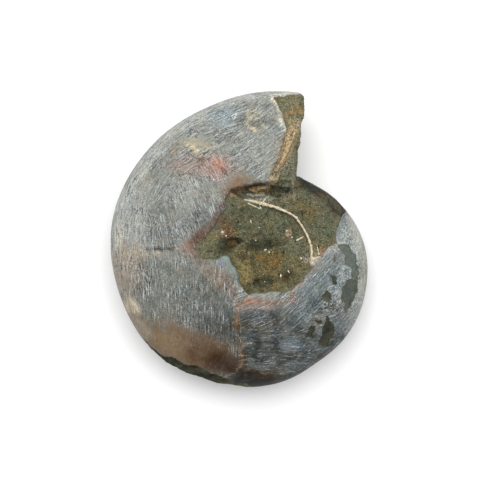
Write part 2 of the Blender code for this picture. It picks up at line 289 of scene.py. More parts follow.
def flankHeight(radius, turn):
    share = np.clip(radius / (plainRim(turn) * swell(turn)), 0.0, 1.0)
    outer = np.clip((share - coil["crestShare"]) / (1.0 - coil["crestShare"]), 0.0, 1.0)
    return coil["halfWidth"] * coil["widthGrowth"] ** (-turn) * np.sqrt(1.0 - outer ** coil["rimPower"])


def middleHeight(x, y):
    return coil["middleHeight"] + coil["middleSlope"][0] * x + coil["middleSlope"][1] * y


def readVectors(items, field):
    # a row of three numbers for each vertex or face
    values = np.empty(len(items) * 3, dtype=np.float32)
    items.foreach_get(field, values)
    return values.reshape(-1, 3).astype(np.float64)


def setAttribute(mesh, name, kind, domain, values):
    layer = mesh.attributes.new(name, kind, domain)
    field = {"FLOAT_COLOR": "color", "FLOAT_VECTOR": "vector", "FLOAT": "value"}[kind]
    layer.data.foreach_set(field, np.ascontiguousarray(values, dtype=np.float32).ravel())


# Node helpers

def addNode(tree, kind, **values):
    node = tree.nodes.new(kind)
    for name, value in values.items():
        setattr(node, name, value)
    return node


def feed(tree, node, values):
    # fills a node's inputs, in order or by name, with values or with other nodes' outputs
    for key, value in values.items() if isinstance(values, dict) else enumerate(values):
        if isinstance(value, bpy.types.NodeSocket):
            tree.links.new(value, node.inputs[key])
        elif value is not None:
            node.inputs[key].default_value = value


def outputOf(tree, kind, values=(), output=0, **settings):
    # adds a node, fills its inputs, and returns one of its outputs
    node = addNode(tree, kind, **settings)
    feed(tree, node, values)
    return node.outputs[output]


def calc(tree, operation, *values):
    return outputOf(tree, "ShaderNodeMath", values, operation=operation)


def mixed(tree, factor, first, second, kind="RGBA"):
    # two colours, or two vectors, mixed
    node = addNode(tree, "ShaderNodeMix", data_type=kind)
    ends = [at for at, socket in enumerate(node.inputs) if socket.type == kind and socket.name in "AB"]
    feed(tree, node, {0: factor, ends[0]: first, ends[1]: second})
    return next(socket for socket in node.outputs if socket.type == kind)


def stored(tree, name, kind="FLOAT"):
    # the mesh's own value of that name, in a geometry tree
    node = addNode(tree, "GeometryNodeInputNamedAttribute", data_type=kind)
    node.inputs["Name"].default_value = name
    return next(socket for socket in node.outputs if socket.enabled and socket.name == "Attribute")


def moved(tree, geometry, direction, by):
    scaled = outputOf(tree, "ShaderNodeVectorMath", {0: direction, "Scale": by}, operation="SCALE")
    return outputOf(tree, "GeometryNodeSetPosition", {"Geometry": geometry, "Offset": scaled})


def wander(tree, scale, detail, output=0):
    # noise over the place of each point
    place = outputOf(tree, "GeometryNodeInputPosition")
    return outputOf(tree, "ShaderNodeTexNoise", {"Vector": place, "Scale": scale, "Detail": detail}, output)


def roughened(tree, geometry, scale, detail, by):
    # pushes the surface in and out along its normals
    swing = calc(tree, "SUBTRACT", wander(tree, scale, detail), 0.5)
    normal = outputOf(tree, "GeometryNodeInputNormal")
    return moved(tree, geometry, normal, calc(tree, "MULTIPLY", calc(tree, "MULTIPLY", swing, by), 2.0))


def finish(tree, geometry, material, out):
    whole = outputOf(tree, "GeometryNodeRealizeInstances", (geometry,))
    covered = outputOf(tree, "GeometryNodeSetMaterial", {"Geometry": whole, "Material": material})
    tree.links.new(covered, out.inputs[0])


def newTree(name, inputs, output="Geometry"):
    # a node group with named inputs. Returns it with its inputs by name and its output node.
    tree = bpy.data.node_groups.new(name, "GeometryNodeTree")
    kinds = {int: "NodeSocketInt", float: "NodeSocketFloat", tuple: "NodeSocketVector"}
    tree.interface.new_socket(output, in_out="OUTPUT", socket_type="NodeSocket" + output)
    for label, value in inputs.items():
        if isinstance(value, str):
            tree.interface.new_socket(label, in_out="INPUT", socket_type="NodeSocket" + value)
            continue
        socket = tree.interface.new_socket(label, in_out="INPUT", socket_type=kinds[type(value)])
        socket.default_value = value
    entry = addNode(tree, "NodeGroupInput")
    return tree, {label: entry.outputs[label] for label in inputs}, addNode(tree, "NodeGroupOutput")


def grown(name, tree, settings, base=None):
    # runs a node tree on an object, and returns its result as a plain mesh
    obj = bpy.data.objects.new(name, base or bpy.data.meshes.new(name))
    bpy.context.scene.collection.objects.link(obj)
    modifier = obj.modifiers.new(name, "NODES")
    modifier.node_group = tree
    for item in tree.interface.items_tree:
        if item.in_out == "INPUT" and item.name in settings:
            modifier[item.identifier] = settings[item.name]
    graph = bpy.context.evaluated_depsgraph_get()
    mesh = bpy.data.meshes.new_from_object(obj.evaluated_get(graph))
    bpy.data.objects.remove(obj, do_unlink=True)
    return mesh


def shown(name, mesh):
    mesh.name = name
    obj = bpy.data.objects.new(name, mesh)
    bpy.context.scene.collection.objects.link(obj)
    return obj


def addPiece(name, mesh):
    obj = shown(name, mesh)
    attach(obj, "root")
    print(name + ":", len(mesh.polygons), "faces")
    return obj


# The coil's plain surface, by rule

def coilPointTree():
    # one point of the coil, from how far back and how far out it lies
    sizes = {"Mouth Radius": 70.0, "Radius Growth": 1.8, "Half Width": 20.0, "Width Growth": 1.4,
             "Crest Share": 0.45, "Rim Power": 2.3, "Inner Radius": 32.0, "Inner Turns": 16.0}
    places = {"Turn": 0.0, "Inner Share": 0.0, "Outer Share": 0.0, "Angle": 0.0}
    tree, given, out = newTree("coilPoint", {**places, **sizes}, "Vector")

    def rimAt(turn):
        growth = calc(tree, "POWER", given["Radius Growth"], turn)
        return calc(tree, "DIVIDE", given["Mouth Radius"], growth)

    bend = calc(tree, "SINE", calc(tree, "MULTIPLY", given["Outer Share"], math.pi / 2))
    reach = calc(tree, "SUBTRACT", rimAt(given["Turn"]), given["Inner Radius"])
    beyond = calc(tree, "MULTIPLY", reach, bend)
    radius = calc(tree, "MULTIPLY_ADD", given["Inner Radius"], given["Inner Share"], beyond)
    ease = outputOf(tree, "ShaderNodeMapRange", (radius, 0.0, given["Inner Turns"], 0.0, 1.0),
                    interpolation_type="SMOOTHSTEP")
    turn = calc(tree, "MULTIPLY_ADD", calc(tree, "SUBTRACT", given["Turn"], 0.5), ease, 0.5)
    share = calc(tree, "MINIMUM", calc(tree, "DIVIDE", radius, rimAt(turn)), 1.0)
    span = calc(tree, "SUBTRACT", 1.0, given["Crest Share"])
    outer = calc(tree, "DIVIDE", calc(tree, "SUBTRACT", share, given["Crest Share"]), span)
    fall = calc(tree, "POWER", calc(tree, "MAXIMUM", outer, 0.0), given["Rim Power"])
    profile = calc(tree, "SQRT", calc(tree, "MAXIMUM", calc(tree, "SUBTRACT", 1.0, fall), 0.0))
    width = calc(tree, "DIVIDE", given["Half Width"], calc(tree, "POWER", given["Width Growth"], turn))
    angle = calc(tree, "RADIANS", given["Angle"])
    point = outputOf(tree, "ShaderNodeCombineXYZ", (
        calc(tree, "MULTIPLY", radius, calc(tree, "COSINE", angle)),
        calc(tree, "MULTIPLY", radius, calc(tree, "SINE", angle)),
        calc(tree, "MULTIPLY", width, profile)))
    tree.links.new(point, out.inputs[0])
    return tree, sizes


def coilSideTree():
    # one side of the coil as a grid: columns run back along the spiral, rows from its middle to its rim
    point, sizes = coilPointTree()
    steps = {"Turn Steps": 100, "Mouth Steps": 10, "Flank Steps": 20, "Rim Steps": 20}
    tree, given, out = newTree("coilSide", {**steps, "Start Angle": 83.0, "Step Angle": 16.5, **sizes})
    columns = calc(tree, "ADD", given["Turn Steps"], given["Mouth Steps"])
    rows = calc(tree, "ADD", given["Flank Steps"], given["Rim Steps"])
    grid = outputOf(tree, "GeometryNodeMeshGrid", (1.0, 1.0, columns, rows), "Mesh")
    index = outputOf(tree, "GeometryNodeInputIndex")
    column = calc(tree, "FLOOR", calc(tree, "DIVIDE", calc(tree, "ADD", index, 0.5), rows))
    row = calc(tree, "SUBTRACT", index, calc(tree, "MULTIPLY", column, rows))
    lastColumn = calc(tree, "SUBTRACT", given["Turn Steps"], 1.0)
    turn = calc(tree, "MINIMUM", calc(tree, "DIVIDE", column, lastColumn), 1.0)
    past = calc(tree, "MAXIMUM", calc(tree, "SUBTRACT", column, lastColumn), 0.0)
    step = calc(tree, "DIVIDE", past, calc(tree, "ADD", given["Mouth Steps"], 1.0))
    rowsOut = calc(tree, "ADD", row, 1.0)
    innerShare = calc(tree, "MINIMUM", calc(tree, "DIVIDE", rowsOut, given["Flank Steps"]), 1.0)
    overFlank = calc(tree, "MAXIMUM", calc(tree, "SUBTRACT", rowsOut, given["Flank Steps"]), 0.0)
    outerShare = calc(tree, "DIVIDE", overFlank, given["Rim Steps"])
    sweep = calc(tree, "SUBTRACT", 360.0, given["Step Angle"])
    angle = calc(tree, "MULTIPLY_ADD", sweep, turn, given["Start Angle"])
    angle = calc(tree, "MULTIPLY_ADD", given["Step Angle"], step, angle)

    def pointAt(atTurn, atAngle):
        node = addNode(tree, "GeometryNodeGroup", node_tree=point)
        feed(tree, node, (atTurn, innerShare, outerShare, atAngle, *(given[label] for label in sizes)))
        return node.outputs[0]

    ring = pointAt(calc(tree, "SUBTRACT", turn, step), angle)
    earlier = pointAt(1.0, calc(tree, "ADD", given["Start Angle"], sweep))
    end = pointAt(0.0, calc(tree, "ADD", given["Start Angle"], 360.0))
    face = mixed(tree, step, earlier, end, "VECTOR")
    inFace = calc(tree, "MULTIPLY", calc(tree, "GREATER_THAN", step, 0.0),
                  calc(tree, "GREATER_THAN", outerShare, 0.0))
    spot = mixed(tree, inFace, ring, face, "VECTOR")
    placed = outputOf(tree, "GeometryNodeSetPosition", {"Geometry": grid, "Position": spot})
    tree.links.new(placed, out.inputs[0])
    return tree


def coilSide(tree, flankSteps, rimSteps):
    # rings of x, y and height over the middle plane, from the middle out
    mesh = grown("coilSide", tree, {
        "Turn Steps": coil["turnSteps"], "Mouth Steps": coil["mouthSteps"],
        "Flank Steps": flankSteps, "Rim Steps": rimSteps,
        "Start Angle": coil["innerStart"], "Step Angle": coil["stepAngle"],
        "Mouth Radius": coil["mouthRadius"], "Radius Growth": coil["radiusGrowth"],
        "Half Width": coil["halfWidth"], "Width Growth": coil["widthGrowth"],
        "Crest Share": coil["crestShare"], "Rim Power": coil["rimPower"],
        "Inner Radius": coil["innerRadius"], "Inner Turns": coil["innerTurns"]})
    points = readVectors(mesh.vertices, "co")
    bpy.data.meshes.remove(mesh)
    columns = coil["turnSteps"] + coil["mouthSteps"]
    rings = points.reshape(columns, flankSteps + rimSteps, 3).transpose(1, 0, 2).copy()
    rings[..., :2] += coil["centre"]
    return rings


def openMouth(rings, flankSteps):
    # swells the rim, leans the mouth's edge to its crest and foot, and spans the broken face between
    turnSteps, inner = coil["turnSteps"], coil["innerRadius"]
    turn = np.linspace(0.0, 1.0, turnSteps)
    step = np.arange(1, coil["mouthSteps"] + 1) / (coil["mouthSteps"] + 1)
    grow = (plainRim(turn) * swell(turn) - inner) / (plainRim(turn) - inner)
    for ring in rings[flankSteps:]:
        radius, _ = toPolar(ring[:turnSteps, 0], ring[:turnSteps, 1])
        radius = inner + (radius - inner) * grow
        foot, crest = along(mouth["foot"], radius[0]), along(mouth["crest"], radius[0])
        start = foot + (crest - foot) * smoothStep((ring[0, 2] / coil["halfWidth"] - 0.1) / 0.8)
        end = along(mouth["foot"], radius[-1]) + 360.0
        ring[:turnSteps, 0], ring[:turnSteps, 1] = fromPolar(radius, start + (end - start) * turn)
        first, last = ring[0].copy(), ring[turnSteps - 1].copy()
        ring[turnSteps:] = last + (first - last) * step[:, None]


# The broken, flaked and ground surface

def coreDepth(x, y):
    radius, angle = toPolar(x, y)
    vein = sorted(tuple(reversed(toPolar(px, py))) for px, py in window["vein"])
    return along([window["coreEnds"][0], *vein, window["coreEnds"][1]], angle) - radius


def floorHeight(x, y):
    # the earlier turn's flank, and inside the vein the rough core
    radius, angle = toPolar(x, y)
    earlier = flankHeight(radius, 1.0 + (angle - coil["mouthAngle"]) / 360.0) - window["shell"]
    total = np.full(x.shape, 1e-6)
    core = total * window["floor"][0][2]
    for spotX, spotY, spotHeight in window["floor"]:
        weight = np.exp(-((x - spotX) ** 2 + (y - spotY) ** 2) / (2 * window["floorSpread"] ** 2))
        total = total + weight
        core = core + weight * spotHeight
    spread, atVein = window["coreEdge"]
    halfWidth, high = window["veinSeat"]
    inCore = smoothStep(coreDepth(x, y) / spread + atVein)
    seat = np.sqrt(np.clip(1.0 - (distanceToLine(x, y, window["vein"]) / halfWidth) ** 2, 0.0, 1.0))
    return earlier + (core / total - earlier) * inCore + high * seat, inCore


def bareStone(x, y):
    # how far each point lies inside bare stone, and how much shell is gone there
    inWindow = depthInside(x, y, window["outline"])
    byMouth = depthInside(x, y, mouth["bare"])
    chip = depthInside(x, y, bare["chipLine"])
    lost = np.maximum(window["shell"] * smoothStep(byMouth / 0.7), bare["chipDepth"] * smoothStep(chip))
    reach = np.maximum(byMouth, chip)
    for outline, depth in bare["flaked"]:
        inside = depthInside(x, y, fromPicture(outline))
        reach = np.maximum(reach, inside)
        lost = np.maximum(lost, depth * smoothStep(inside / 0.5 + 0.3))
    return inWindow, reach, lost


def downTo(x, y, side, reach):
    # 1 above a ragged line that far below the middle plane, 0 under it
    swing, size, fade = bare["lowerEdge"]
    return smoothStep((side + reach + swing * lumps(x, y, size, 3, side)) / fade)


def chipShare(x, y, side):
    # 1 where the rim is chipped, 0 below the chip's ragged lower edge
    _, angle = toPolar(x, y)
    middle, spread, below = bare["chipReach"]
    return downTo(x, y, side, below * (1.0 - ((angle - middle) / spread) ** 2))


def crackDepth(x, y):
    depth = np.zeros(x.shape)
    for line, width, deep in marks["cracks"]:
        depth = np.maximum(depth, deep * smoothStep(1.6 * (1.0 - distanceToLine(x, y, line) / width)))
    for pitX, pitY, radius, deep in marks["pits"]:
        depth = np.maximum(depth, deep * smoothStep(1.3 * (1.0 - np.hypot(x - pitX, y - pitY) / radius)))
    for line, width, high in marks["ridges"]:
        depth = depth - high * smoothStep(1.4 * (1.0 - distanceToLine(x, y, line) / width))
    return depth


def breakUpper(rings):
    x, y, height = rings[..., 0], rings[..., 1], rings[..., 2]
    edgeX, edgeY = ragged(x, y)
    inWindow, _, lost = bareStone(edgeX, edgeY)
    floor, inCore = floorHeight(x, y)
    for outline, step in window["blocks"]:
        floor = floor + step * smoothStep(depthInside(edgeX, edgeY, outline) / window["blockEdge"])
    stony = smoothStep(inWindow / window["roughFrom"])
    coarse = lumps(x, y, window["grain"])
    size, onTurn, moreInCore = window["fineGrain"]
    fine = lumps(x, y, size, 3, 20.0)
    floor = np.minimum(floor, height - window["below"])
    floor = floor + stony * (window["roughness"] * coarse + (onTurn + moreInCore * inCore) * fine)
    onFlank = smoothStep(height / coil["flankFrom"])
    uneven = marks["unevenBy"] * lumps(x, y, marks["unevenSize"], 2, 31.0)
    patch = smoothStep(lost / 0.5)
    shell = height - (lost - bare["patchGrain"] * patch * fine) * onFlank + uneven * onFlank
    wall = smoothStep(inWindow / window["wallWidth"] + 0.5)
    result = shell + (floor - shell) * wall - crackDepth(edgeX, edgeY) * onFlank
    rings[..., 2] = middleHeight(x, y) + result


def finishLower(rings):
    x, y, height = rings[..., 0], rings[..., 1], rings[..., 2]
    radius, _ = toPolar(x, y)
    across, deep = coil["umbilicus"]
    uneven = marks["unevenBy"] * lumps(x, y, marks["unevenSize"], 2, 77.0)
    uneven = uneven * smoothStep(height / coil["flankFrom"])
    hollow = np.exp(-((radius / across) ** 2))
    rough = 0.5 * hollow * lumps(x, y, 3.0, 4, 9.0)
    rings[..., 2] = middleHeight(x, y) - height - uneven + deep * hollow + rough


def breakFace(rings):
    # the face's stone lies behind the shell's edge, lumpy and hackly
    face = rings[:, coil["turnSteps"]:]
    x, y, height = face[..., 0], face[..., 1], face[..., 2]
    share = np.arange(1, coil["mouthSteps"] + 1) / (coil["mouthSteps"] + 1)
    radius, _ = toPolar(x, y)
    inset = smoothStep(np.minimum(share, 1.0 - share) / mouth["edgeShare"])
    inset = inset * smoothStep((radius - coil["innerRadius"]) / 4.0)
    offMiddle = np.abs(height - middleHeight(x, y))
    (coarseSize, coarseBy), (fineSize, fineBy) = mouth["lumps"]
    coarse = lumps(y, height, coarseSize, 4, 5.0)
    fine = lumps(y, height, fineSize, 3, 6.0)
    push = (coarseBy * coarse + fineBy * fine - mouth["setBack"]) * inset * smoothStep(offMiddle / 9.0)
    push = np.minimum(push, mouth["standsOut"])
    face[..., 0] += push * math.cos(math.radians(mouth["facing"]))
    face[..., 1] += push * math.sin(math.radians(mouth["facing"]))
    return inset


def fossilMesh():
    tree = coilSideTree()
    upper = coilSide(tree, coil["flankSteps"], coil["rimSteps"])
    lower = coilSide(tree, coil["underFlankSteps"], coil["underRimSteps"])
    openMouth(upper, coil["flankSteps"])
    openMouth(lower, coil["underFlankSteps"])
    print("coil laid out:", upper.shape, lower.shape)
    breakUpper(upper)
    finishLower(lower)
    rings = np.concatenate([upper, lower[:-1][::-1]])
    faceShare = np.zeros(rings.shape[:2])
    faceShare[:, coil["turnSteps"]:] = breakFace(rings)
    count = rings.shape[1]
    points = np.concatenate([rings.reshape(-1, 3), [rings[0].mean(axis=0)], [rings[-1].mean(axis=0)]]) * mm
    corner = np.arange(count * (len(rings) - 1)).reshape(-1, count)
    beside = np.roll(corner, -1, axis=1)
    quads = np.stack([corner, corner + count, beside + count, beside], axis=-1).reshape(-1, 4)
    top, bottom = len(points) - 2, len(points) - 1
    lastRing = (len(rings) - 1) * count
    caps = [(top, at, (at + 1) % count) for at in range(count)]
    caps += [(bottom, lastRing + (at + 1) % count, lastRing + at) for at in range(count)]
    mesh = bpy.data.meshes.new("fossil")
    mesh.from_pydata(points.tolist(), [], quads.tolist() + caps)
    share = mesh.attributes.new("faceShare", "FLOAT", "POINT")
    share.data.foreach_set("value", np.concatenate([faceShare.ravel(), [0.0, 0.0]]).astype(np.float32))
    print("stone broken:", len(mesh.polygons), "faces")
    return mesh


def chipRim(mesh):
    # steps the chipped rim back along its normals, with a hackly break, then grinds the underside flat
    points, normals = readVectors(mesh.vertices, "co") / mm, readVectors(mesh.vertices, "normal")
    x, y, z = points.T
    chip = depthInside(*ragged(x, y), bare["chipLine"])
    side = z - middleHeight(x, y)
    steep = 1.0 - smoothStep(np.abs(normals[:, 2]) / 0.9)
    within = smoothStep(chip / 0.7) * chipShare(x, y, side)
    _, angle = toPolar(x, y)
    least, hackle, atRim = bare["chipStep"]
    hackly = lumps(angle * 0.8, side * 1.3, 4.0, 4, 13.0)
    recess = least + hackle * hackly + atRim * smoothStep(np.abs(side) / 6.0)
    points -= normals * (within * steep * recess)[:, None]
    low, high = np.array(cadBox) / mm
    mesh.vertices.foreach_set("co", (np.clip(points, low, high) * mm).ravel())
    mesh.update()


def thinned(mesh):
    obj = shown("thinning", mesh)
    modifier = obj.modifiers.new("thin", "DECIMATE")
    modifier.ratio = coil["triangles"] / sum(len(face.vertices) - 2 for face in mesh.polygons)
    modifier.use_collapse_triangulate = True
    graph = bpy.context.evaluated_depsgraph_get()
    result = bpy.data.meshes.new_from_object(obj.evaluated_get(graph))
    bpy.data.objects.remove(obj, do_unlink=True)
    bpy.data.meshes.remove(mesh)
    return result


# Tints of the ground shell, picked in the picture: name, centre, half length, half width, turn, colour,
# strength. A stroke has a line of points and a half width instead.
shellPaint = {
    "ground": (134, 136, 130),
    "ovals": (
        ("pale upper flank", 206, 128, 75, 30, 28, (136, 138, 131), 0.75),
        ("left flank", 128, 228, 52, 20, 82, (166, 168, 164), 0.75),
        ("dull flank by the window", 200, 220, 28, 14, 108, (102, 104, 100), 0.85),
        ("grey above the crack", 176, 236, 30, 11, 0, (112, 114, 110), 0.75),
        ("dark below the top rim", 250, 123, 20, 10, -10, (96, 98, 90), 0.9),
        ("shade below the top rim", 204, 116, 18, 6, 14, (126, 128, 124), 0.7),
        ("shade on the left rim", 132, 176, 10, 13, -30, (98, 100, 96), 0.85),
        ("shade on the left flank", 168, 214, 18, 10, 0, (106, 108, 104), 0.75),
        ("pale patch by the window", 190, 198, 14, 20, -15, (162, 164, 158), 0.5),
        ("warm shade left of the window", 202, 259, 14, 6, 0, (106, 94, 78), 0.8),
        ("pale left rim", 120, 238, 6, 16, -6, (196, 193, 176), 0.85),
        ("pale upper left rim", 119, 200, 6, 12, -20, (188, 190, 184), 0.8),
        ("lower left flank", 170, 288, 42, 36, 0, (102, 104, 98), 0.8),
        ("lower middle", 216, 308, 32, 36, 0, (80, 84, 79), 0.9),
        # partly the shell's own dark olive, partly painted shade darkening the lower right side
        ("dark lower right", 278, 346, 60, 36, 6, (46, 51, 49), 1.0),
        ("right flank", 324, 284, 46, 20, 45, (90, 104, 108), 0.85),
        ("blue right flank", 338, 325, 34, 15, 50, (82, 94, 97), 0.8),
        ("grey beside the stone", 339, 230, 8, 16, 0, (122, 130, 130), 0.85),
        ("pale outer rim", 350, 232, 9, 12, -30, (120, 127, 124), 0.8),
        ("dark under the window", 262, 311, 32, 9, 6, (56, 64, 68), 0.85),
        ("dull lower middle", 238, 326, 42, 13, 4, (52, 53, 49), 0.85),
        ("brown window corner", 284, 288, 9, 6, 40, (92, 80, 58), 0.8),
        ("dark beside the flakes", 322, 304, 18, 9, 0, (50, 57, 59), 0.9),
        ("dull by the seam", 237, 357, 9, 8, 0, (50, 46, 38), 0.8),
        ("dull left of the flakes", 278, 318, 12, 8, 0, (50, 56, 56), 0.7),
        ("bubbly white", 323, 246, 8, 7, 0, (134, 142, 142), 0.85),
        ("dull right rim", 345, 219, 9, 7, -50, (88, 94, 96), 0.85),
        ("dull outer rim", 361, 272, 6, 14, 0, (84, 84, 76), 1.0),
        ("tan below", 178, 346, 58, 24, -22, (114, 94, 70), 1.0),
        ("light tan below", 176, 346, 30, 12, -24, (136, 114, 86), 0.85),
        ("tan left rim foot", 143, 328, 8, 16, 30, (128, 112, 90), 0.8),
        ("pale spot on the left rim", 131, 306, 8, 8, 0, (216, 204, 180), 1.1),
        ("brown below", 212, 355, 33, 16, -18, (86, 64, 42), 1.0),
        ("red brown below", 225, 362, 20, 11, -14, (54, 34, 17), 1.0),
        # partly the shell's own brown and olive, partly painted shade darkening the bottom edge
        ("brown bottom", 254, 379, 28, 12, -2, (24, 15, 4), 1.6),
        ("olive bottom", 254, 387, 28, 7, -4, (12, 12, 5), 1.6),
        ("golden bottom", 262, 375, 13, 4, 0, (64, 52, 30), 0.5),
        ("brown bar", 258, 323, 20, 4, 4, (76, 66, 46), 0.8),
        ("warm left rim", 128, 268, 20, 26, 0, (150, 134, 118), 0.65),
        ("cream seam", 140, 253, 28, 4, 0, (176, 164, 142), 0.55),
        ("cream spot", 134, 306, 9, 5, -30, (214, 200, 172), 0.9),
        ("yellowish upper left", 140, 180, 10, 14, 0, (164, 161, 142), 0.45),
        ("beige lens", 196, 146, 17, 6.5, -14, (164, 158, 136), 1.1),
        ("cream lens edge", 195, 152, 10, 2.4, -30, (214, 202, 164), 1.1),
        ("dark spot", 203, 160.5, 3.0, 2.4, 0, (44, 36, 28), 1.4),
        ("tan spot", 172, 151, 5, 3.4, 0, (146, 130, 104), 0.8),
        ("pale pink spot", 172, 130, 6, 3, 20, (190, 176, 166), 0.6),
        ("pink cloud", 200, 166, 28, 12, 0, (146, 118, 107), 0.6),
        ("salmon cloud", 218, 169, 13, 16, -66, (162, 122, 105), 0.65),
        ("salmon heart", 219, 167, 9, 4.5, -66, (176, 126, 106), 0.75),
        ("orange above the window", 236, 185, 16, 8, 22, (130, 104, 76), 0.9),
        ("blue cloud", 222, 118, 20, 12, 32, (136, 150, 156), 0.7),
        ("white chip", 220, 103, 5, 1.8, 10, (222, 224, 220), 0.9),
        ("second white chip", 233, 117, 2.6, 3, 0, (222, 224, 220), 0.9),
        ("orange tip", 194, 248, 13, 7, -4, (142, 104, 84), 0.8),
        ("pink below the tip", 222, 280, 20, 8, -48, (134, 108, 88), 0.65),
        ("pale pink under the window", 256, 305, 22, 6, 0, (142, 128, 120), 0.85),
        ("bright salmon", 250, 299, 8, 4, 6, (176, 118, 88), 0.75),
        ("second salmon", 289, 297, 5, 4.4, 30, (160, 108, 84), 0.65),
        ("pale blue crystals", 291, 343, 11, 7, 0, (118, 136, 148), 0.6),
        ("white crystals", 354, 246, 6, 15, -22, (160, 164, 156), 0.8),
        ("lilac nacre", 219, 261, 5.5, 3.6, -20, (152, 148, 186), 1.0),
        ("mint nacre", 226, 257.5, 4, 2.6, -20, (150, 188, 180), 1.0),
        ("pale nacre", 234, 266, 5, 4, 50, (150, 172, 168), 0.9),
        ("cyan nacre", 239, 274, 2.6, 6, 20, (146, 184, 198), 1.0),
    ),
    "strokes": (
        # partly the rim's own pale grey, partly a painted highlight along the top rim
        ("pale top rim",
         ((128, 196), (148, 158), (180, 126), (215, 104), (250, 94), (299, 93)), 8, (174, 176, 170), 0.7),
        ("tan left rim", ((114, 262), (120, 290), (131, 313), (146, 334)), 8, (152, 140, 122), 0.65),
        ("faint right rim", ((362, 284), (360, 302), (356, 318), (348, 334)), 6, (146, 149, 142), 0.5),
        ("cream right rim", ((350, 220), (361, 245), (364, 270), (362, 288)), 6, (168, 166, 153), 0.6),
        ("salmon below the window",
         ((242, 302), (256, 299), (270, 300), (290, 299)), 3.6, (128, 98, 80), 0.6),
        ("pink window edge", ((284, 295), (295, 287), (305, 279), (313, 267)), 1.0, (150, 128, 112), 0.6),
        ("blue window edge", ((250, 294.5), (262, 293.5), (280, 295.5)), 1.4, (134, 140, 136), 0.7),
        ("pale nacre edge",
         ((215, 260), (224, 258), (231, 265), (236, 272), (240, 281), (245, 291)),
         5.0, (122, 132, 122), 0.8),
        ("red brown window edge",
         ((230, 192), (223, 202), (219, 212), (213, 224), (204, 234), (195, 242), (195, 254)),
         4.6, (92, 68, 54), 0.85),
        ("faint seam", ((237, 292), (236, 310), (236, 322)), 1.4, (150, 118, 88), 0.5),
        ("rusty seam",
         ((236, 322), (237, 332), (238, 340), (240, 350), (239, 360)), 2.6, (98, 74, 48), 0.65),
        ("cream curl",
         ((239, 340), (241, 352), (240, 362), (237, 369), (230, 375), (222, 377)),
         0.8, (140, 116, 80), 0.7),
        ("second cream curl",
         ((246, 370), (250, 366), (257, 368), (263, 371), (270, 372), (275, 377)),
         0.8, (112, 92, 58), 0.7),
        ("cream line left of the mouth",
         ((271, 100), (274, 106), (277, 114), (280, 122), (283, 129), (284.5, 134)),
         2.0, (206, 196, 168), 1.0),
        ("rusty mouth edge",
         ((284, 138), (280, 147), (276, 157), (273, 168), (270, 181)), 1.5, (96, 64, 40), 0.9),
        ("tan beside the mouth",
         ((279, 140), (275, 152), (271, 164), (266, 178)), 3.4, (150, 142, 120), 0.5),
        ("cream mouth end", ((275, 97), (284, 94), (298, 94)), 1.8, (196, 188, 166), 0.6),
        ("cream curls", ((245, 112), (250, 118), (247, 127), (253, 133)), 1.4, (206, 192, 158), 0.8),
        ("cream curls beside",
         ((254, 112), (260, 117), (258, 124), (264, 130)), 1.4, (196, 184, 150), 0.7),
        # partly the rim's own olive, partly painted shade along the bottom and lower right rim
        ("olive bottom rim",
         ((228, 386), (250, 390), (275, 386), (300, 377), (318, 366)), 7, (12, 12, 6), 1.2),
        ("dark lower right rim", ((280, 384), (304, 374), (324, 358), (340, 340)), 8, (44, 48, 46), 0.85),
        ("dark crack's side", ((147, 248.5), (175, 248.5)), 1.4, (70, 66, 60), 0.8),
    ),
}

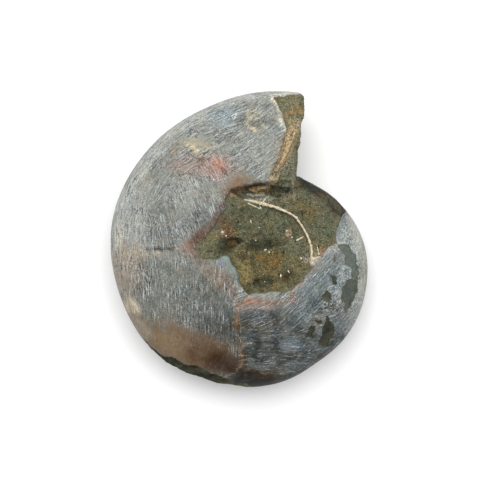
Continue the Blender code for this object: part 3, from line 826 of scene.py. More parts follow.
# Tints of the bare stone
stonePaint = {
    "ground": (104, 103, 82),
    "ovals": (
        ("upper core", 262, 220, 40, 22, 0, (82, 84, 66), 0.8),
        ("lower core", 262, 268, 34, 26, 0, (84, 78, 48), 0.8),
        ("earlier turn", 320, 212, 30, 26, -30, (86, 86, 70), 0.9),
        ("ochre core", 242, 268, 9, 22, 8, (132, 118, 76), 0.85),
        ("ochre lower core", 268, 262, 14, 9, 10, (108, 82, 38), 0.6),
        ("ochre on the earlier turn", 308, 214, 16, 8, -50, (102, 92, 54), 0.55),
        ("green on the earlier turn", 324, 228, 10, 12, 0, (84, 98, 82), 0.6),
        ("golden blob", 261, 258, 5, 4, 0, (126, 92, 44), 0.55),
        ("second golden blob", 274, 262, 5, 3.5, 0, (122, 88, 46), 0.5),
        ("orange by the cream spot", 230, 231, 6, 3.5, 0, (164, 122, 80), 0.85),
        ("orange under the cream spot", 225, 238, 4, 2.5, 0, (146, 104, 68), 0.8),
        ("pink cream lump", 287, 233, 5, 6, 0, (150, 128, 108), 1.0),
        ("cream spot", 222, 232, 3, 2.6, 0, (190, 176, 150), 0.9),
        # painted shade: the core's hollows, and the band below its ridge where the floor turns away from
        # the light, are darkened
        ("dark hollow", 235, 240, 10, 4.5, -6, (24, 24, 16), 1.2),
        ("second dark hollow", 227, 248, 10, 6, 10, (28, 30, 20), 1.2),
        ("dark band", 262, 245, 18, 6.5, 10, (34, 34, 24), 1.1),
        ("dark lower spot", 252, 260, 3.4, 5, 0, (34, 33, 25), 0.9),
        ("dark by the nacre", 240, 257, 6, 5, 0, (54, 52, 38), 0.9),
        ("brown lower right floor", 288, 278, 9, 8, -40, (62, 54, 36), 0.9),
        ("dark left floor", 214, 250, 10, 5, -20, (62, 64, 50), 0.6),
        ("dark lower edge", 245, 287, 6, 6, 0, (50, 46, 30), 0.75),
        ("dark lower clumps", 262, 281, 12, 4, 4, (36, 34, 24), 0.9),
        ("grey block", 256, 198, 14, 5.5, 0, (150, 153, 140), 1.2),
        ("tan chunk", 258, 189.5, 12, 4.5, 4, (152, 128, 92), 1.1),
        # the stone's own brown, lightened as painted light to lift the shadow of the wall above it
        ("brown left of the chunk", 236, 189, 11, 6, 0, (166, 136, 110), 1.1),
        ("shadowed hollow", 279, 192, 12, 5, 0, (38, 39, 31), 0.9),
        ("maroon spot", 334, 210, 5, 3, -50, (80, 50, 46), 0.8),
        ("green grey under the vein", 262, 215, 24, 9, -12, (88, 96, 78), 0.7),
        ("node by the vein", 313, 260, 9, 5, 0, (192, 182, 174), 1.0),
        ("pink above the node", 321, 252, 6, 5, -40, (168, 140, 122), 0.9),
        ("upper flaked patch", 347, 262, 13, 20, 0, (94, 104, 101), 1.0),
        ("large flaked patch", 349, 293, 12, 17, 0, (74, 82, 80), 1.0),
        ("dark flaked patches", 320, 330, 20, 20, 0, (32, 36, 33), 1.0),
        ("small flaked patches", 328, 287, 9, 14, 0, (48, 54, 50), 1.0),
        ("red brown upper left edge", 222, 222, 6, 26, 25, (96, 70, 52), 0.75),
        ("olive chip", 190, 368, 62, 18, -24, (30, 32, 25), 1.0),
        ("brown edge of the earlier turn", 325, 248, 12, 4, 30, (98, 76, 54), 0.7),
    ),
    "strokes": (
        ("dark rim of the earlier turn",
         ((300, 184), (314, 189), (327, 196), (339, 208), (348, 222)), 6.5, (42, 44, 42), 1.0),
        ("pale ridge", ((293, 178), (292, 190), (291, 202)), 1.5, (160, 160, 140), 0.85),
    ),
}

# Tints of the stone in the mouth, over the tints of the bare stone
mouthPaint = {
    "ovals": (
        ("mouth triangle", 291, 112, 16, 18, 0, (122, 118, 92), 0.85),
        ("rusty mouth triangle", 295, 113, 10, 4.5, 12, (142, 104, 64), 0.7),
        ("mouth's pale face", 288, 172, 8, 24, -12, (128, 130, 112), 1.0),
    ),
    "strokes": (
        ("tan fibres",
         ((294.5, 128), (290, 141), (284, 154), (275, 168), (268, 181)), 6.6, (172, 157, 128), 1.0),
        ("cream fibre",
         ((298, 126), (294, 138), (290, 150), (285, 163), (277, 177), (270, 185)),
         1.1, (206, 192, 160), 0.8),
        ("second cream fibre",
         ((289, 134), (284, 146), (279, 158), (275, 169), (271, 180)), 1.1, (190, 176, 146), 0.6),
        ("brown fibre", ((284, 140), (281, 152), (274, 166), (270, 176)), 1.0, (112, 74, 42), 0.85),
        ("second brown fibre",
         ((293, 134), (291, 144), (287, 158), (281, 168)), 0.9, (118, 82, 46), 0.85),
        ("shadow below the mouth", ((272, 188), (284, 191), (291, 188)), 3, (40, 40, 32), 0.85),
    ),
}

# Tints of the underside in millimetres, where only a guess is possible
underPaint = {
    "ground": (124, 126, 120),
    "ovals": (
        ("dark lower side", 30.0, -38.0, 24.0, 13.0, 35, (74, 78, 77), 0.85),
        ("dark end", -4.0, -56.0, 18.0, 6.0, -6, (62, 58, 48), 0.85),
        ("tan middle", 2.0, -4.0, 15.0, 11.0, 30, (146, 134, 114), 0.7),
        ("pale side", -34.0, 4.0, 24.0, 10.0, 85, (162, 163, 156), 0.7),
        ("dull end", 2.0, 42.0, 16.0, 9.0, 20, (122, 124, 118), 0.7),
        ("brown side", 26.0, -34.0, 15.0, 8.0, 35, (118, 100, 78), 0.75),
        ("blue side", 40.0, -4.0, 16.0, 7.0, 80, (124, 134, 136), 0.7),
        ("rusty spot", -16.0, 26.0, 8.0, 3.5, -40, (160, 122, 98), 0.6),
        ("dark side", -16.0, -38.0, 14.0, 8.0, -25, (104, 104, 96), 0.6),
    ),
    "strokes": (
        ("rusty seam",
         ((-2.0, -16.0), (-5.0, -28.0), (-3.0, -40.0), (-6.0, -52.0)), 0.7, (150, 116, 82), 0.6),
    ),
}

# How the tints lie: the edges' swing, size, layers and level; then, for each kind, how far below the
# middle plane it fades out
tinting = {
    "edges": ((1.3, 8.0, 3, 5.0), (0.5, 1.9, 2, 25.0)),
    "shell": (8.0, 4.0, 9.0, 8.0),      # depth, the edge's swing and size, softness
    "stone": (14.0, 6.0),               # depth, softness
    "mouth": (-2.0, 6.0),
}

# Grinding passes over the shell: where each is centred, and the way its scratches run
grinding = {
    "upper": ((2.2, 36.1, 30), (10.2, 44.1, 35), (-3.8, 50.2, 20), (-15.9, 48.2, 25), (-27.9, 42.1, 40),
              (-37.9, 30.1, 50), (-19.9, 32.1, 30), (-33.9, 20.1, 55), (-17.9, 16.1, -72),
              (-11.8, 26.1, -65), (-25.9, 10.0, -78), (-43.9, 12.0, 75), (-46.0, 0.0, 85),
              (-19.9, 2.0, -75), (-36.0, -2.0, 88), (-42.0, -16.0, 92), (-27.9, -20.0, 90),
              (-13.8, -20.0, 88), (-7.8, -36.1, 90), (-21.9, -36.0, 90), (10.2, -38.1, 2),
              (20.3, -44.1, -4), (8.2, -28.1, 20), (18.3, -28.1, 40), (28.3, -18.0, 45),
              (36.3, -12.0, 45), (44.3, 0.0, 60), (42.3, -24.0, 48), (32.3, -36.0, 20), (47.6, -16.0, 85),
              (10.2, -54.0, 5), (-15.9, -46.1, 70)),
    "lower": ((0.0, 0.0, 20), (-20.0, 22.0, 60), (-30.0, -8.0, -70), (-16.0, -36.0, 35),
              (10.0, -40.0, -15), (32.0, -24.0, 50), (36.0, 2.0, 80), (14.0, 22.0, -35), (-6.0, 44.0, 15),
              (-40.0, 16.0, 75)),
    "steep": 0.5,               # past this lean the scratches follow the rim
    # where hardly any scratches show; each set of ovals has an edge: softness, and its share at the line
    "smoothOvals": ((-23.9, -42.5, 23.3, 8.8, -22), (-10.2, -47.4, 12.4, 5.8, -18),
                    (6.4, -56.0, 13.0, 5.4, -4), (-0.6, 22.9, 7.2, 3.2, 14), (-4.6, -9.4, 7.0, 2.2, -48),
                    (40.6, 2.6, 2.4, 6.0, 0), (-17.4, 38.1, 7.2, 2.8, -14)),
    "smoothEdge": (3.0, 0.3),
    # where the right rim's shell has weathered into tiny bubbles, seen as pale curls
    "bubbledOvals": ((44.6, 3.2, 8.0, 5.0, 70), (38.6, -2.4, 4.6, 2.6, 20), (41.6, -12.0, 6.0, 3.0, 70),
                     (37.0, -22.0, 7.5, 4.0, 60), (47.4, -12.0, 2.6, 12.0, 0),
                     (46.6, -25.0, 3.6, 10.0, -8)),
    "bubbledEdge": (2.0, 0.4),
    # the two attributes: name, level of their noise, turn away from the pass
    "sets": (("scratchLie", 61.0, 0.0), ("crossLie", 161.0, 9.0)),
}


def inMillimetres(tints):
    # tints picked in the picture, with their places and sizes in millimetres
    def size(pixels):
        return round(pixels * picture["pixel"], 1)

    ovals = [(name, *fromPicture([(px, py)])[0], size(halfLength), size(halfWidth), *rest)
             for name, px, py, halfLength, halfWidth, *rest in tints["ovals"]]
    strokes = [(name, fromPicture(line), size(halfWidth), *rest)
               for name, line, halfWidth, *rest in tints["strokes"]]
    return {**tints, "ovals": ovals, "strokes": strokes}


def strongest(x, y, ovals, edge):
    # how deep each point lies in any of the ovals, from 0 to 1
    fade, start = edge
    return np.max([smoothStep(ovalDepth(x, y, *oval) / fade + start) for oval in ovals], axis=0)


def toLinear(colour):
    return np.array([((value / 255 + 0.055) / 1.055) ** 2.4 for value in colour])


def painted(x, y, z, tints, where, colour=None):
    # lays each tint over the ground colour, with ragged soft edges
    for swing, size, layers, level in tinting["edges"]:
        x, y = (x + swing * lumps(x, y, size, layers, z + level),
                y + swing * lumps(x, y, size, layers, z + level + 50.0))
    mottle = 0.85 + 0.35 * lumps(x, y, 4.0, 3, z + 45.0)
    if colour is None:
        colour = np.tile(toLinear(tints["ground"]), (len(x), 1))
    for _, centreX, centreY, halfLength, halfWidth, turn, tint, strength in tints["ovals"]:
        reach = ovalDepth(x, y, centreX, centreY, halfLength, halfWidth, turn) / min(halfLength, halfWidth)
        weight = np.clip(strength * mottle * where, 0.0, 1.0) * smoothStep(reach + 0.45)
        colour += weight[:, None] * (toLinear(tint) - colour)
    for _, line, halfWidth, tint, strength in tints["strokes"]:
        weight = smoothStep(1.4 - distanceToLine(x, y, line) / halfWidth)
        weight = weight * np.clip(strength * (2.0 * mottle - 0.8) * where, 0.0, 1.0)
        colour += weight[:, None] * (toLinear(tint) - colour)
    return colour


def stoneReach(x, y, side, faceShare):
    # how far each point lies inside bare stone, also at the rim, in the mouth's face and in the umbilicus
    edgeX, edgeY = ragged(x, y)
    inWindow, reach, _ = bareStone(edgeX, edgeY)
    byChip = depthInside(edgeX, edgeY, bare["chipLine"]) > -bare["chipMargin"]
    overEdge = downTo(x, y, side, bare["reach"])
    overEdge = np.where(byChip, chipShare(x, y, side), overEdge)
    depth = np.maximum(inWindow, reach) * overEdge - 2.0 * (1.0 - overEdge)
    depth = np.maximum(depth, 4.0 * (faceShare - 0.3))
    radius, _ = toPolar(edgeX, edgeY)
    return np.where(side < 0, np.maximum(depth, bare["umbilicus"] - radius), depth), inWindow


def grittyShare(x, y, z, depth, drift, stone):
    # 1 on broken stone, 0 on the vein, the grey blocks, dark stone and near the ground
    edgeX, edgeY = ragged(x, y)
    offVein = smoothStep(distanceToLine(x, y, window["vein"]) - 0.6)
    blocks = [depthInside(edgeX, edgeY, outline) for outline, _ in window["blocks"][:2]]
    offBlock = 1.0 - smoothStep(np.max(blocks, axis=0))
    offDark = smoothStep((stone.mean(axis=1) - 0.03) / 0.05)
    offGround = smoothStep(z - 0.8)
    return smoothStep(depth / 0.6) * (drift > 0.6) * offVein * offBlock * offDark * offGround


def addTints(mesh):
    count = len(mesh.vertices)
    faceShare = np.empty(count, dtype=np.float32)
    mesh.attributes["faceShare"].data.foreach_get("value", faceShare)
    x, y, z = readVectors(mesh.vertices, "co").T / mm
    side = z - middleHeight(x, y)
    below, swing, size, fade = tinting["shell"]
    upper = smoothStep((side + below + swing * lumps(x, y, size, 3, z)) / fade)
    shell = painted(x, y, z, inMillimetres(shellPaint), upper)
    under = painted(x, y, z, underPaint, 1.0)
    shell = under + (shell - under) * upper[:, None]
    below, fade = tinting["stone"]
    stone = painted(x, y, z, inMillimetres(stonePaint), smoothStep((side + below) / fade))
    below, fade = tinting["mouth"]
    stone = painted(x, y, z, inMillimetres(mouthPaint), smoothStep((side + below) / fade), stone)
    depth, inWindow = stoneReach(x, y, side, faceShare)
    edgeX, edgeY = ragged(x, y)
    smooth = strongest(edgeX, edgeY, grinding["smoothOvals"], grinding["smoothEdge"]) * upper
    bubbled = strongest(edgeX, edgeY, grinding["bubbledOvals"], grinding["bubbledEdge"]) * upper
    # the stone drifts in colour where it is broken open, and stays plain where shell has flaked off it
    broken = np.maximum(smoothStep(inWindow / 1.5), smoothStep(depthInside(x, y, mouth["bare"]))) * upper
    drift = 0.25 + 0.75 * np.maximum(broken, smoothStep(faceShare / 0.5))
    setAttribute(mesh, "shellTint", "FLOAT_COLOR", "POINT", np.hstack([shell, np.ones((count, 1))]))
    setAttribute(mesh, "stoneTint", "FLOAT_COLOR", "POINT", np.hstack([stone, drift[:, None]]))
    scratched = (1.0 - 0.8 * smooth) * (1.0 - 0.5 * bubbled)
    gritty = grittyShare(x, y, z, depth, drift, stone)
    for name, values in (("stoneDepth", depth), ("scratching", scratched),
                         ("bubbling", bubbled), ("gritty", gritty)):
        setAttribute(mesh, name, "FLOAT", "POINT", values)
    mesh.attributes.remove(mesh.attributes["faceShare"])


def addScratchLie(mesh, name, level, swing):
    # gives each face's corners a place measured along and across its own scratches
    corners = 3
    x, y, _ = readVectors(mesh.polygons, "center").T / mm
    lean = readVectors(mesh.polygons, "normal")[:, 2]
    x, y = x + 4.0 * lumps(x, y, 7.0, 3, level), y + 4.0 * lumps(x, y, 7.0, 3, level + 10.0)
    turn = np.zeros(len(x))
    for faces, passes in ((lean >= 0, grinding["upper"]), (lean < 0, grinding["lower"])):
        spread = np.array([np.hypot(x - px, y - py) for px, py, _ in passes])
        turn[faces] = np.array([way + swing for _, _, way in passes])[spread.argmin(axis=0)][faces]
    steep = np.repeat(np.abs(lean) < grinding["steep"], corners)
    vertices = np.empty(len(x) * corners, dtype=np.int32)
    mesh.loops.foreach_get("vertex_index", vertices)
    px, py, pz = (readVectors(mesh.vertices, "co") / mm)[vertices].T
    turn = np.repeat(turn, corners)
    cos, sin = np.cos(np.radians(turn)), np.sin(np.radians(turn))
    radius, angle = toPolar(px, py)
    flat = np.stack([px * cos + py * sin, py * cos - px * sin, pz + turn], axis=1)
    rim = np.stack([np.radians(angle) * 50.0, pz, radius * 0.5], axis=1)
    setAttribute(mesh, name, "FLOAT_VECTOR", "CORNER", np.where(steep[:, None], rim, flat))


# Material helpers

def paint(*colour):
    return (*toLinear(colour), 1.0)


def ranged(tree, value, low, high, bottom=0.0, top=1.0):
    return outputOf(tree, "ShaderNodeMapRange", (value, low, high, bottom, top))


def attribute(tree, name, output="Fac"):
    return outputOf(tree, "ShaderNodeAttribute", (), output, attribute_name=name)


def stretched(tree, vector, scale):
    return outputOf(tree, "ShaderNodeMapping", {"Vector": vector, "Scale": scale})


def grain(tree, vector, scale, detail=2.0, roughness=0.5):
    return outputOf(tree, "ShaderNodeTexNoise",
                    {"Vector": vector, "Scale": scale, "Detail": detail, "Roughness": roughness})


def shadeScaled(tree, colour, scale):
    return outputOf(tree, "ShaderNodeVectorMath", {0: colour, "Scale": scale}, operation="SCALE")


def bumped(tree, height, distance, before=None):
    return outputOf(tree, "ShaderNodeBump", {"Distance": distance, "Height": height, "Normal": before})


def newMaterial(name, specular):
    material = bpy.data.materials.new(name)
    material.use_nodes = True
    tree = material.node_tree
    shader = tree.nodes["Principled BSDF"]
    shader.inputs["Specular IOR Level"].default_value = specular
    coordinates = outputOf(tree, "ShaderNodeTexCoord", (), "Object")
    return material, tree, shader, stretched(tree, coordinates, (1 / mm, 1 / mm, 1 / mm))


groundLooks = {
    "specular": 0.12,
    # streaks of the grinding: scale along, across and up; the dark and the pale end; share
    "streaks": ((0.12, 2.0, 1.0), 0.38, 0.62, 0.30),
    "crossStreaks": ((0.30, 2.2, 1.0), 0.38, 0.62, 0.24),
    # single scratches: length, spacing, half width as a share of the spacing, ink, its share
    "whiteScratches": (13.0, 0.95, 0.23, (198, 200, 194), 0.58),
    "shortScratches": (3.4, 0.75, 0.26, (190, 192, 186), 0.50),
    "darkScratches": (8.0, 1.1, 0.28, (38, 40, 36), 0.62),
    "faintOnDark": (0.01, 0.16, 0.35, 1.0),
    # grains: how many to the millimetre, low and high end, and what those give
    "speckle": (1.7, 0.42, 0.58),
    "speckleShare": 0.46,
    "breaks": (1.5, 0.38, 0.62, 0.2, 2.8),
    "mottle": (0.7, 0.35, 0.65, -0.10, 0.10),
    "patches": (0.13, 0.36, 0.64, 0.45, 1.0),
    "dark": 0.12,
    "pale": 1.60,
    "cool": (0.13, 0.48, 0.66, 0.0, 0.26),
    "coolInk": (116, 130, 140),
    "warm": (0.21, 0.54, 0.70, 0.0, 0.32),
    "warmInk": (144, 124, 98),
    # curls of bubbled shell: how many to the millimetre, width as a share of the noise, most of the ink
    "curls": (0.75, 0.055, 0.50),
    "curlInk": (204, 208, 202),
    "scratchDepth": 0.00007,
    "shellRoughness": (0.50, 0.68),
    "stoneRoughness": 0.88,
    "border": (-0.06, 0.10),    # depth in bare stone over which shell gives way to it
    "sand": (0.52, 0.83, 0.30, 1.70),       # the grain's low and high end, and the shade they give
    # blotches in the stone: scale, low and high end, most of the ink, scale upwards, ink
    "moss": (0.16, 0.45, 0.64, 0.30, 1.1, (90, 100, 80)),
    "rust": (0.20, 0.46, 0.70, 0.26, 1.3, (146, 112, 50)),
    "soot": (0.50, 0.45, 0.32, 0.92, 0.9, (40, 40, 33)),
    "stoneDepth": 0.00035,
}


def scratches(tree, lie, plan, breaks):
    # thin straight strokes, one to a stretched cell, some fainter than others, broken up by a fine grain
    length, spacing, halfWidth, _, most = plan
    node = addNode(tree, "ShaderNodeTexVoronoi", voronoi_dimensions="2D")
    feed(tree, node, {"Vector": stretched(tree, lie, (1 / length, 1 / spacing, 1.0)), "Scale": 1.0})
    line = ranged(tree, node.outputs["Distance"], halfWidth, 0.35 * halfWidth)
    line = calc(tree, "MULTIPLY", line, node.outputs["Color"])
    return calc(tree, "MULTIPLY", line, calc(tree, "MULTIPLY", breaks, most))


def shellLook(tree, place):
    # colour and height of the ground shell: a fine speckle, drawn out into streaks, and single scratches
    looks = groundLooks
    lies = {name: attribute(tree, name, "Vector") for name, _, _ in grinding["sets"]}

    def spotted(name, detail, roughness):
        size, *limits = looks[name]
        return ranged(tree, grain(tree, place, size, detail, roughness), *limits)

    scratching = attribute(tree, "scratching")
    strength = calc(tree, "MULTIPLY", scratching, spotted("patches", 3.0, 0.5))
    value = calc(tree, "MULTIPLY", spotted("speckle", 2.0, 0.7), looks["speckleShare"])
    for name, lie in (("streaks", "scratchLie"), ("crossStreaks", "crossLie")):
        scale, low, high, share = looks[name]
        streak = ranged(tree, grain(tree, stretched(tree, lies[lie], scale), 1.0, 2.0, 0.6), low, high)
        value = calc(tree, "MULTIPLY_ADD", streak, share, value)
    value = calc(tree, "MULTIPLY_ADD", calc(tree, "SUBTRACT", value, 0.5), strength, 0.5)
    value = calc(tree, "ADD", value, spotted("mottle", 5.0, 0.7))
    tint = attribute(tree, "shellTint", "Color")
    for name in ("cool", "warm"):
        share = calc(tree, "MULTIPLY", spotted(name, 4.0, 0.6), scratching)
        tint = mixed(tree, share, tint, paint(*looks[name + "Ink"]))
    shade = calc(tree, "MULTIPLY_ADD", value, looks["pale"] - looks["dark"], looks["dark"])
    colour = shadeScaled(tree, tint, shade)
    breaks = spotted("breaks", 2.0, 0.7)
    # the pale scratches show less on dark shell
    faint = ranged(tree, attribute(tree, "shellTint"), *looks["faintOnDark"])
    onDark = calc(tree, "MULTIPLY", strength, faint)
    for name, lie, seen in (("darkScratches", "crossLie", strength), ("shortScratches", "crossLie", onDark),
                            ("whiteScratches", "scratchLie", onDark)):
        share = calc(tree, "MULTIPLY", scratches(tree, lies[lie], looks[name], breaks), seen)
        colour = mixed(tree, share, colour, paint(*looks[name][3]))
    # pale curls where the shell is bubbled
    size, width, most = looks["curls"]
    level = calc(tree, "ABSOLUTE", calc(tree, "SUBTRACT", grain(tree, place, size, 1.5, 0.6), 0.5))
    curls = ranged(tree, level, width, 0.2 * width, 0.0, most)
    share = calc(tree, "MULTIPLY", curls, attribute(tree, "bubbling"))
    return mixed(tree, share, colour, paint(*looks["curlInk"])), value


def stoneLook(tree, place):
    # colour and height of the sediment: sandy, drifting from moss to ochre, with clustered dark pits
    looks = groundLooks
    fine = grain(tree, place, 2.1, 3.0, 0.7)
    medium = grain(tree, place, 0.6, 4.0, 0.6)
    shade = ranged(tree, calc(tree, "MULTIPLY_ADD", medium, 0.35, fine), *looks["sand"])
    colour = attribute(tree, "stoneTint", "Color")
    drift = attribute(tree, "stoneTint", "Alpha")
    for name in ("moss", "rust", "soot"):
        scale, low, high, most, upright, ink = looks[name]
        seat = stretched(tree, place, (1.0, 1.0, upright))
        spots = ranged(tree, grain(tree, seat, scale, 4.0, 0.65), low, high, 0.0, most)
        colour = mixed(tree, calc(tree, "MULTIPLY", spots, drift), colour, paint(*ink))
    contrast = calc(tree, "MULTIPLY_ADD", drift, 0.6, 0.4)
    depth = calc(tree, "MULTIPLY_ADD", calc(tree, "SUBTRACT", shade, 1.0), contrast, 1.0)
    return shadeScaled(tree, colour, depth), calc(tree, "MULTIPLY_ADD", medium, 1.5, fine)


def groundMaterial():
    looks = groundLooks
    material, tree, shader, place = newMaterial("groundShell", looks["specular"])
    shellColour, shellHeight = shellLook(tree, place)
    stoneColour, stoneHeight = stoneLook(tree, place)
    border = calc(tree, "SUBTRACT", grain(tree, place, 1.5, 3.0, 0.6), 0.5)
    border = calc(tree, "MULTIPLY_ADD", border, 1.2, attribute(tree, "stoneDepth"))
    stony = ranged(tree, border, *looks["border"])
    shellRough = ranged(tree, shellHeight, 0.2, 1.1, *looks["shellRoughness"])
    rough = outputOf(tree, "ShaderNodeMix", (stony, None, shellRough, looks["stoneRoughness"]))
    shellOnly = calc(tree, "MULTIPLY", shellHeight, calc(tree, "SUBTRACT", 1.0, stony))
    stoneOnly = calc(tree, "MULTIPLY", stoneHeight, stony)
    relief = bumped(tree, stoneOnly, looks["stoneDepth"], bumped(tree, shellOnly, looks["scratchDepth"]))
    feed(tree, shader, {"Base Color": mixed(tree, stony, shellColour, stoneColour), "Roughness": rough,
                        "Normal": relief})
    return material


fossilGround = thinned(fossilMesh())
chipRim(fossilGround)
fossilGround.shade_smooth()
addTints(fossilGround)
for lieName, lieLevel, lieSwing in grinding["sets"]:
    addScratchLie(fossilGround, lieName, lieLevel, lieSwing)
fossilGround.materials.append(groundMaterial())
fossil = addPiece("groundShellAndStone", fossilGround)
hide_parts("ammonite")


# Strands: the calcite vein and the fibrous layers along the mouth, swept along curves

vein = {
    # x, y, half width
    "lines": (((1.6, 15.8, 0.30), (3.6, 15.5, 0.52), (6.0, 15.0, 0.66), (8.6, 14.5, 0.78),
               (10.9, 13.9, 0.66),
               (14.6, 12.9, 0.60), (17.4, 11.7, 0.64), (18.8, 10.9, 0.50), (20.4, 10.2, 0.40),
               (22.3, 8.9, 0.46),
               (25.0, 4.9, 0.40), (27.0, 0.9, 0.40), (28.3, -3.1, 0.46), (28.3, -6.7, 0.54),
               (28.5, -9.6, 0.34)),
              ((3.0, 14.6, 0.16), (6.0, 13.3, 0.34), (8.0, 12.2, 0.22)),
              ((8.4, 14.3, 0.3), (9.8, 16.0, 0.34), (10.6, 17.2, 0.2)),
              ((22.3, -0.2, 0.24), (23.6, 0.4, 0.34), (25.2, 1.4, 0.24)),
              ((30.4, -1.6, 0.12), (30.8, -3.8, 0.24), (31.4, -5.8, 0.20)),
              ((28.6, -7.6, 0.44), (30.0, -7.2, 0.52), (31.6, -6.5, 0.24))),
    "lift": 0.12,
    "finish": ("creamCalcite", (194, 178, 144), (234, 226, 200), (176, 148, 116)),
    "look": {"Spacing": 0.22 * mm, "Wobble": 0.22 * mm, "Lumps": 0.55, "Roughness": 0.10 * mm, "Sides": 12},
}

fibres = {
    # the band along the mouth: left edge and right edge, from the rim inwards
    "left": ((21.0, 46.0), (18.4, 42.0), (16.4, 35.4), (14.4, 30.4), (11.6, 22.8)),
    "right": ((24.4, 46.8), (22.6, 40.0), (20.0, 34.0), (16.8, 28.6), (13.8, 24.0)),
    "count": 26,
    "steps": 20,
    "halfWidth": (0.10, 0.26),
    "lift": 0.02,
    "seed": 7,
    "finish": ("fibrousShell", (150, 118, 78), (206, 186, 146), (112, 82, 54)),
    "look": {"Spacing": 0.35 * mm, "Wobble": 0.35 * mm, "Lumps": 0.5, "Roughness": 0.06 * mm, "Sides": 8},
}


def strandTree():
    # sweeps a lumpy round section along the edges of a mesh, with its half width in an attribute
    tree, given, out = newTree("strand", {"Line": "Geometry", "Surface": "Material", "Spacing": 0.0003,
                                          "Wobble": 0.0002, "Lumps": 0.4, "Roughness": 0.0001, "Sides": 10})
    curve = outputOf(tree, "GeometryNodeMeshToCurve", (given["Line"],))
    even = outputOf(tree, "GeometryNodeResampleCurve",
                    {"Curve": curve, "Length": given["Spacing"]}, mode="LENGTH")
    aside = outputOf(tree, "ShaderNodeVectorMath", (wander(tree, 700.0, 3.0, "Color"), (0.5, 0.5, 0.5)),
                     operation="SUBTRACT")
    line = moved(tree, even, aside, calc(tree, "MULTIPLY", given["Wobble"], 2.0))
    swelling = calc(tree, "SUBTRACT", wander(tree, 1500.0, 3.0), 0.5)
    swelling = calc(tree, "MULTIPLY_ADD", calc(tree, "MULTIPLY", swelling, given["Lumps"]), 4.0, 1.0)
    section = outputOf(tree, "GeometryNodeCurvePrimitiveCircle",
                       {"Radius": 1.0, "Resolution": given["Sides"]})
    swept = outputOf(tree, "GeometryNodeCurveToMesh", {
        "Curve": line, "Profile Curve": section, "Fill Caps": True,
        "Scale": calc(tree, "MULTIPLY", stored(tree, "girth"), swelling)})
    finish(tree, roughened(tree, swept, 3200.0, 3.0, given["Roughness"]), given["Surface"], out)
    return tree


def onSurface(surface, x, y, lift):
    # the highest point of the stone at x and y, and so far over it
    hit = surface.ray_cast(Vector((x, y, 100.0)) * mm, Vector((0.0, 0.0, -1.0)))[0]
    return hit + Vector((0.0, 0.0, lift * mm))


def lineMesh(lines, surface, lift):
    # edges laid on the surface, each point with its half width
    points, edges, girths = [], [], []
    for line in lines:
        first = len(points)
        for x, y, halfWidth in line:
            points.append(onSurface(surface, x, y, lift))
            girths.append(halfWidth * mm)
        edges += [(at, at + 1) for at in range(first, len(points) - 1)]
    mesh = bpy.data.meshes.new("lines")
    mesh.from_pydata(points, edges, [])
    setAttribute(mesh, "girth", "FLOAT", "POINT", girths)
    return mesh


def denser(line, step=1.0):
    # the same line with a point about every millimetre, so that it follows the stone
    table = np.array(line)
    run = np.concatenate([[0.0], np.cumsum(np.hypot(*np.diff(table[:, :2], axis=0).T))])
    at = np.linspace(0.0, run[-1], max(2, int(run[-1] / step) + 1))
    return np.stack([np.interp(at, run, column) for column in table.T], axis=1).tolist()


def fibreLines():
    rng = np.random.default_rng(fibres["seed"])
    low, high = fibres["halfWidth"]
    share = np.linspace(0.0, 1.0, fibres["steps"])

    def evenly(edge):
        at = np.linspace(0, 1, len(edge))
        return np.array([np.interp(share, at, column) for column in np.array(edge).T])

    left, right = evenly(fibres["left"]), evenly(fibres["right"])
    lines = []
    for _ in range(fibres["count"]):
        across, lean = rng.random(), rng.normal(0.0, 0.15)
        start, end = sorted(rng.random(2) * 0.45 + np.array([0.0, 0.55]))
        place = left + (right - left) * np.clip(across + lean * (share - 0.5), 0.0, 1.0)
        keep = (share >= start - 0.05) & (share <= end + 0.05)
        width = rng.uniform(low, high) * np.sin(np.linspace(0.15, math.pi - 0.15, keep.sum()))
        lines.append(list(zip(*place[:, keep], width)))
    return lines


def calciteMaterial(name, dark, pale, tan):
    material, tree, shader, place = newMaterial(name, 0.45)
    blotch = ranged(tree, grain(tree, place, 0.9, 3.0, 0.6), 0.38, 0.62)
    fine = ranged(tree, grain(tree, place, 2.6, 3.0, 0.6), 0.35, 0.65)
    colour = mixed(tree, blotch, paint(*dark), paint(*pale))
    colour = mixed(tree, calc(tree, "MULTIPLY", fine, 0.45), colour, paint(*tan))
    feed(tree, shader, {"Base Color": colour, "Roughness": 0.48, "Normal": bumped(tree, fine, 0.0001)})
    return material


def addStrands(name, lines, plan, tree, surface):
    base = lineMesh([denser(line) for line in lines], surface, plan["lift"])
    mesh = grown(name, tree, {**plan["look"], "Surface": calciteMaterial(*plan["finish"])}, base)
    outward = bmesh.new()
    outward.from_mesh(mesh)
    bmesh.ops.remove_doubles(outward, verts=outward.verts, dist=1e-6)
    bmesh.ops.recalc_face_normals(outward, faces=outward.faces)
    outward.to_mesh(mesh)
    outward.free()
    mesh.shade_smooth()
    addPiece(name, mesh)


# Loose crystals standing out of the stone, and the grit of the broken stone

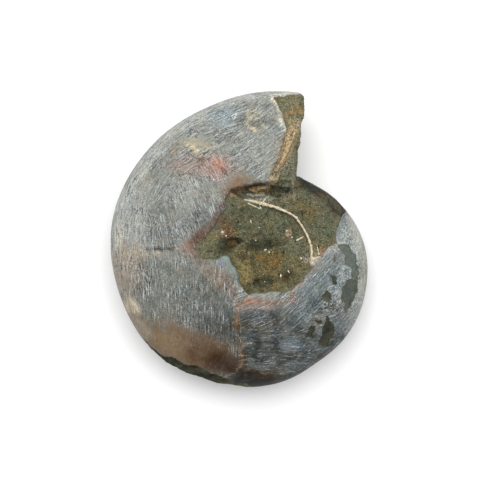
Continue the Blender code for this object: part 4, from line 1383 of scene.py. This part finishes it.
crystals = {
    # x, y, length, width, turn
    "chips": ((10.2, -3.8, 1.3, 0.6, 20), (11.6, -4.8, 1.0, 0.6, 100), (24.3, -7.2, 0.9, 0.8, 0),
              (19.1, -12.4, 1.7, 0.6, -50), (16.1, -14.2, 1.6, 0.6, 85), (7.4, 5.0, 1.2, 0.4, -20),
              (6.2, -0.2, 0.8, 0.5, 60), (2.6, -16.3, 0.8, 0.5, 0), (9.8, -16.5, 0.9, 0.6, 30),
              (8.0, 13.0, 1.8, 0.4, -55), (4.2, 7.6, 2.4, 0.4, -70), (18.6, 3.6, 0.9, 0.7, 20),
              (20.6, 1.2, 1.0, 0.7, 60), (-7.0, 3.2, 1.5, 1.1, 0), (-5.6, 1.6, 0.9, 0.7, 30),
              (28.9, -8.2, 1.2, 0.9, 0), (29.9, -7.9, 1.1, 0.8, 40), (-2.6, 54.0, 1.1, 0.5, 20)),
    "sink": 0.30,
    "flatness": 0.7,
    "seed": 11,
    "finish": ("whiteCrystal", (206, 190, 164), (236, 228, 208), (190, 160, 140)),
    "look": {"Roughness": 0.26 * mm},
}

grit = {
    "inks": ((52, 54, 40), (112, 104, 70), (176, 166, 132)),
    "look": {"Density": 1.1e6, "Limit": 0.5, "Smallest": 0.10 * mm, "Largest": 0.30 * mm, "Seed": 5},
}


def crystalTree():
    # a small faceted lump at each point, as long, wide and turned as its point says
    tree, given, out = newTree("crystal", {"Spots": "Geometry", "Surface": "Material", "Roughness": 0.0003})
    lump = outputOf(tree, "GeometryNodeMeshIcoSphere", (0.5, 2), "Mesh")
    spread = outputOf(tree, "GeometryNodeInstanceOnPoints", {
        "Points": given["Spots"], "Instance": lump, "Scale": stored(tree, "size", "FLOAT_VECTOR"),
        "Rotation": stored(tree, "turn", "FLOAT_VECTOR")})
    whole = outputOf(tree, "GeometryNodeRealizeInstances", (spread,))
    finish(tree, roughened(tree, whole, 900.0, 2.0, given["Roughness"]), given["Surface"], out)
    return tree


def gritTree():
    # grains scattered where the stone is gritty, each turned and sized at random
    tree, given, out = newTree("grit", {"Stone": "Geometry", "Surface": "Material", "Density": 1e6,
                                        "Limit": 0.5, "Smallest": 0.0001, "Largest": 0.0003, "Seed": 5})
    scatter = addNode(tree, "GeometryNodeDistributePointsOnFaces")
    chosen = calc(tree, "GREATER_THAN", stored(tree, "gritty"), given["Limit"])
    feed(tree, scatter, {"Mesh": given["Stone"], "Selection": chosen, "Density": given["Density"],
                         "Seed": given["Seed"]})
    bead = outputOf(tree, "GeometryNodeMeshIcoSphere", (1.0, 1), "Mesh")
    sizes = addNode(tree, "FunctionNodeRandomValue", data_type="FLOAT")
    low, high = [socket for socket in sizes.inputs if socket.enabled and socket.name in ("Min", "Max")]
    tree.links.new(given["Smallest"], low)
    tree.links.new(given["Largest"], high)
    spread = outputOf(tree, "GeometryNodeInstanceOnPoints", {
        "Points": scatter.outputs["Points"], "Instance": bead, "Rotation": scatter.outputs["Rotation"],
        "Scale": next(socket for socket in sizes.outputs if socket.enabled)})
    finish(tree, spread, given["Surface"], out)
    return tree


def crystalSpots(surface):
    rng = np.random.default_rng(crystals["seed"])
    points, sizes, turns = [], [], []
    for x, y, length, width, turn in crystals["chips"]:
        points.append(onSurface(surface, x, y, -crystals["sink"] * 0.5 * width))
        sizes.append((length * mm, width * mm, crystals["flatness"] * width * mm))
        turns.append((rng.uniform(-0.3, 0.3), rng.uniform(-0.3, 0.3), math.radians(turn)))
    mesh = bpy.data.meshes.new("spots")
    mesh.from_pydata(points, [], [])
    setAttribute(mesh, "size", "FLOAT_VECTOR", "POINT", sizes)
    setAttribute(mesh, "turn", "FLOAT_VECTOR", "POINT", turns)
    return mesh


def gritMaterial():
    material, tree, shader, place = newMaterial("sandGrains", 0.4)
    dark, light, pale = (paint(*ink) for ink in grit["inks"])
    hue = ranged(tree, grain(tree, place, 0.9, 1.0, 0.5), 0.36, 0.64)
    few = ranged(tree, grain(tree, stretched(tree, place, (1.0, 1.0, 1.1)), 1.7, 0.0, 0.5), 0.66, 0.70)
    colour = mixed(tree, few, mixed(tree, hue, dark, light), pale)
    feed(tree, shader, {"Base Color": colour, "Roughness": 0.8})
    return material


surface = BVHTree.FromObject(fossil, bpy.context.evaluated_depsgraph_get())
strands = strandTree()
addStrands("calciteVein", vein["lines"], vein, strands, surface)
addStrands("mouthFibres", fibreLines(), fibres, strands, surface)
white = calciteMaterial(*crystals["finish"])
chips = grown("looseCrystals", crystalTree(), {**crystals["look"], "Surface": white}, crystalSpots(surface))
addPiece("looseCrystals", chips)
grains = grown("sandGrains", gritTree(), {**grit["look"], "Surface": gritMaterial()}, fossilGround.copy())
addPiece("sandGrains", grains)


# The stage: a pale floor, soft light from above, and a camera looking straight down

stage = {
    "cameraHeight": 1000.0,
    "sensor": 36.0,
    # in metres: the floor's size and drop, its whiteness and roughness, and each light's place, size, power
    "floor": (1.6, 0.0002, 0.95, 0.9),
    "lights": (("overhead", (-0.12, 0.42, 1.0), 1.0, 9.1), ("side", (0.6, 0.1, 0.9), 0.8, 2.2)),
    "worldStrength": 0.66,
}


def makeFloor():
    size, drop, white, roughness = stage["floor"]
    bpy.ops.mesh.primitive_plane_add(size=size, location=(0.0, 0.0, -drop))
    floor = bpy.context.object
    floor.name = "paleFloor"
    material = bpy.data.materials.new("paleFloor")
    material.use_nodes = True
    shader = material.node_tree.nodes["Principled BSDF"]
    shader.inputs["Base Color"].default_value = (white, white, white, 1.0)
    shader.inputs["Roughness"].default_value = roughness
    floor.data.materials.append(material)


def makeLight(name, place, size, power):
    data = bpy.data.lights.new(name, "AREA")
    data.shape = "DISK"
    data.size = size
    data.energy = power
    light = bpy.data.objects.new(name, data)
    light.location = place
    light.rotation_euler = (-Vector(place)).to_track_quat("-Z", "Y").to_euler()
    bpy.context.scene.collection.objects.link(light)


def makeWorld():
    world = bpy.data.worlds.new("studio")
    world.use_nodes = True
    background = world.node_tree.nodes["Background"]
    background.inputs["Color"].default_value = (1.0, 1.0, 1.0, 1.0)
    background.inputs["Strength"].default_value = stage["worldStrength"]
    bpy.context.scene.world = world
    bpy.context.scene.view_settings.view_transform = "Standard"


def makeCamera():
    data = bpy.data.cameras.new("camera")
    data.sensor_width = stage["sensor"]
    reach = stage["cameraHeight"] - coil["middleHeight"]
    data.lens = stage["sensor"] * reach / (picture["width"] * picture["pixel"])
    camera = bpy.data.objects.new("camera", data)
    camera.location = (0.0, 0.0, stage["cameraHeight"] * mm)
    bpy.context.scene.collection.objects.link(camera)
    bpy.context.scene.camera = camera


makeFloor()
for light in stage["lights"]:
    makeLight(*light)
makeWorld()
makeCamera()
print("stage set")
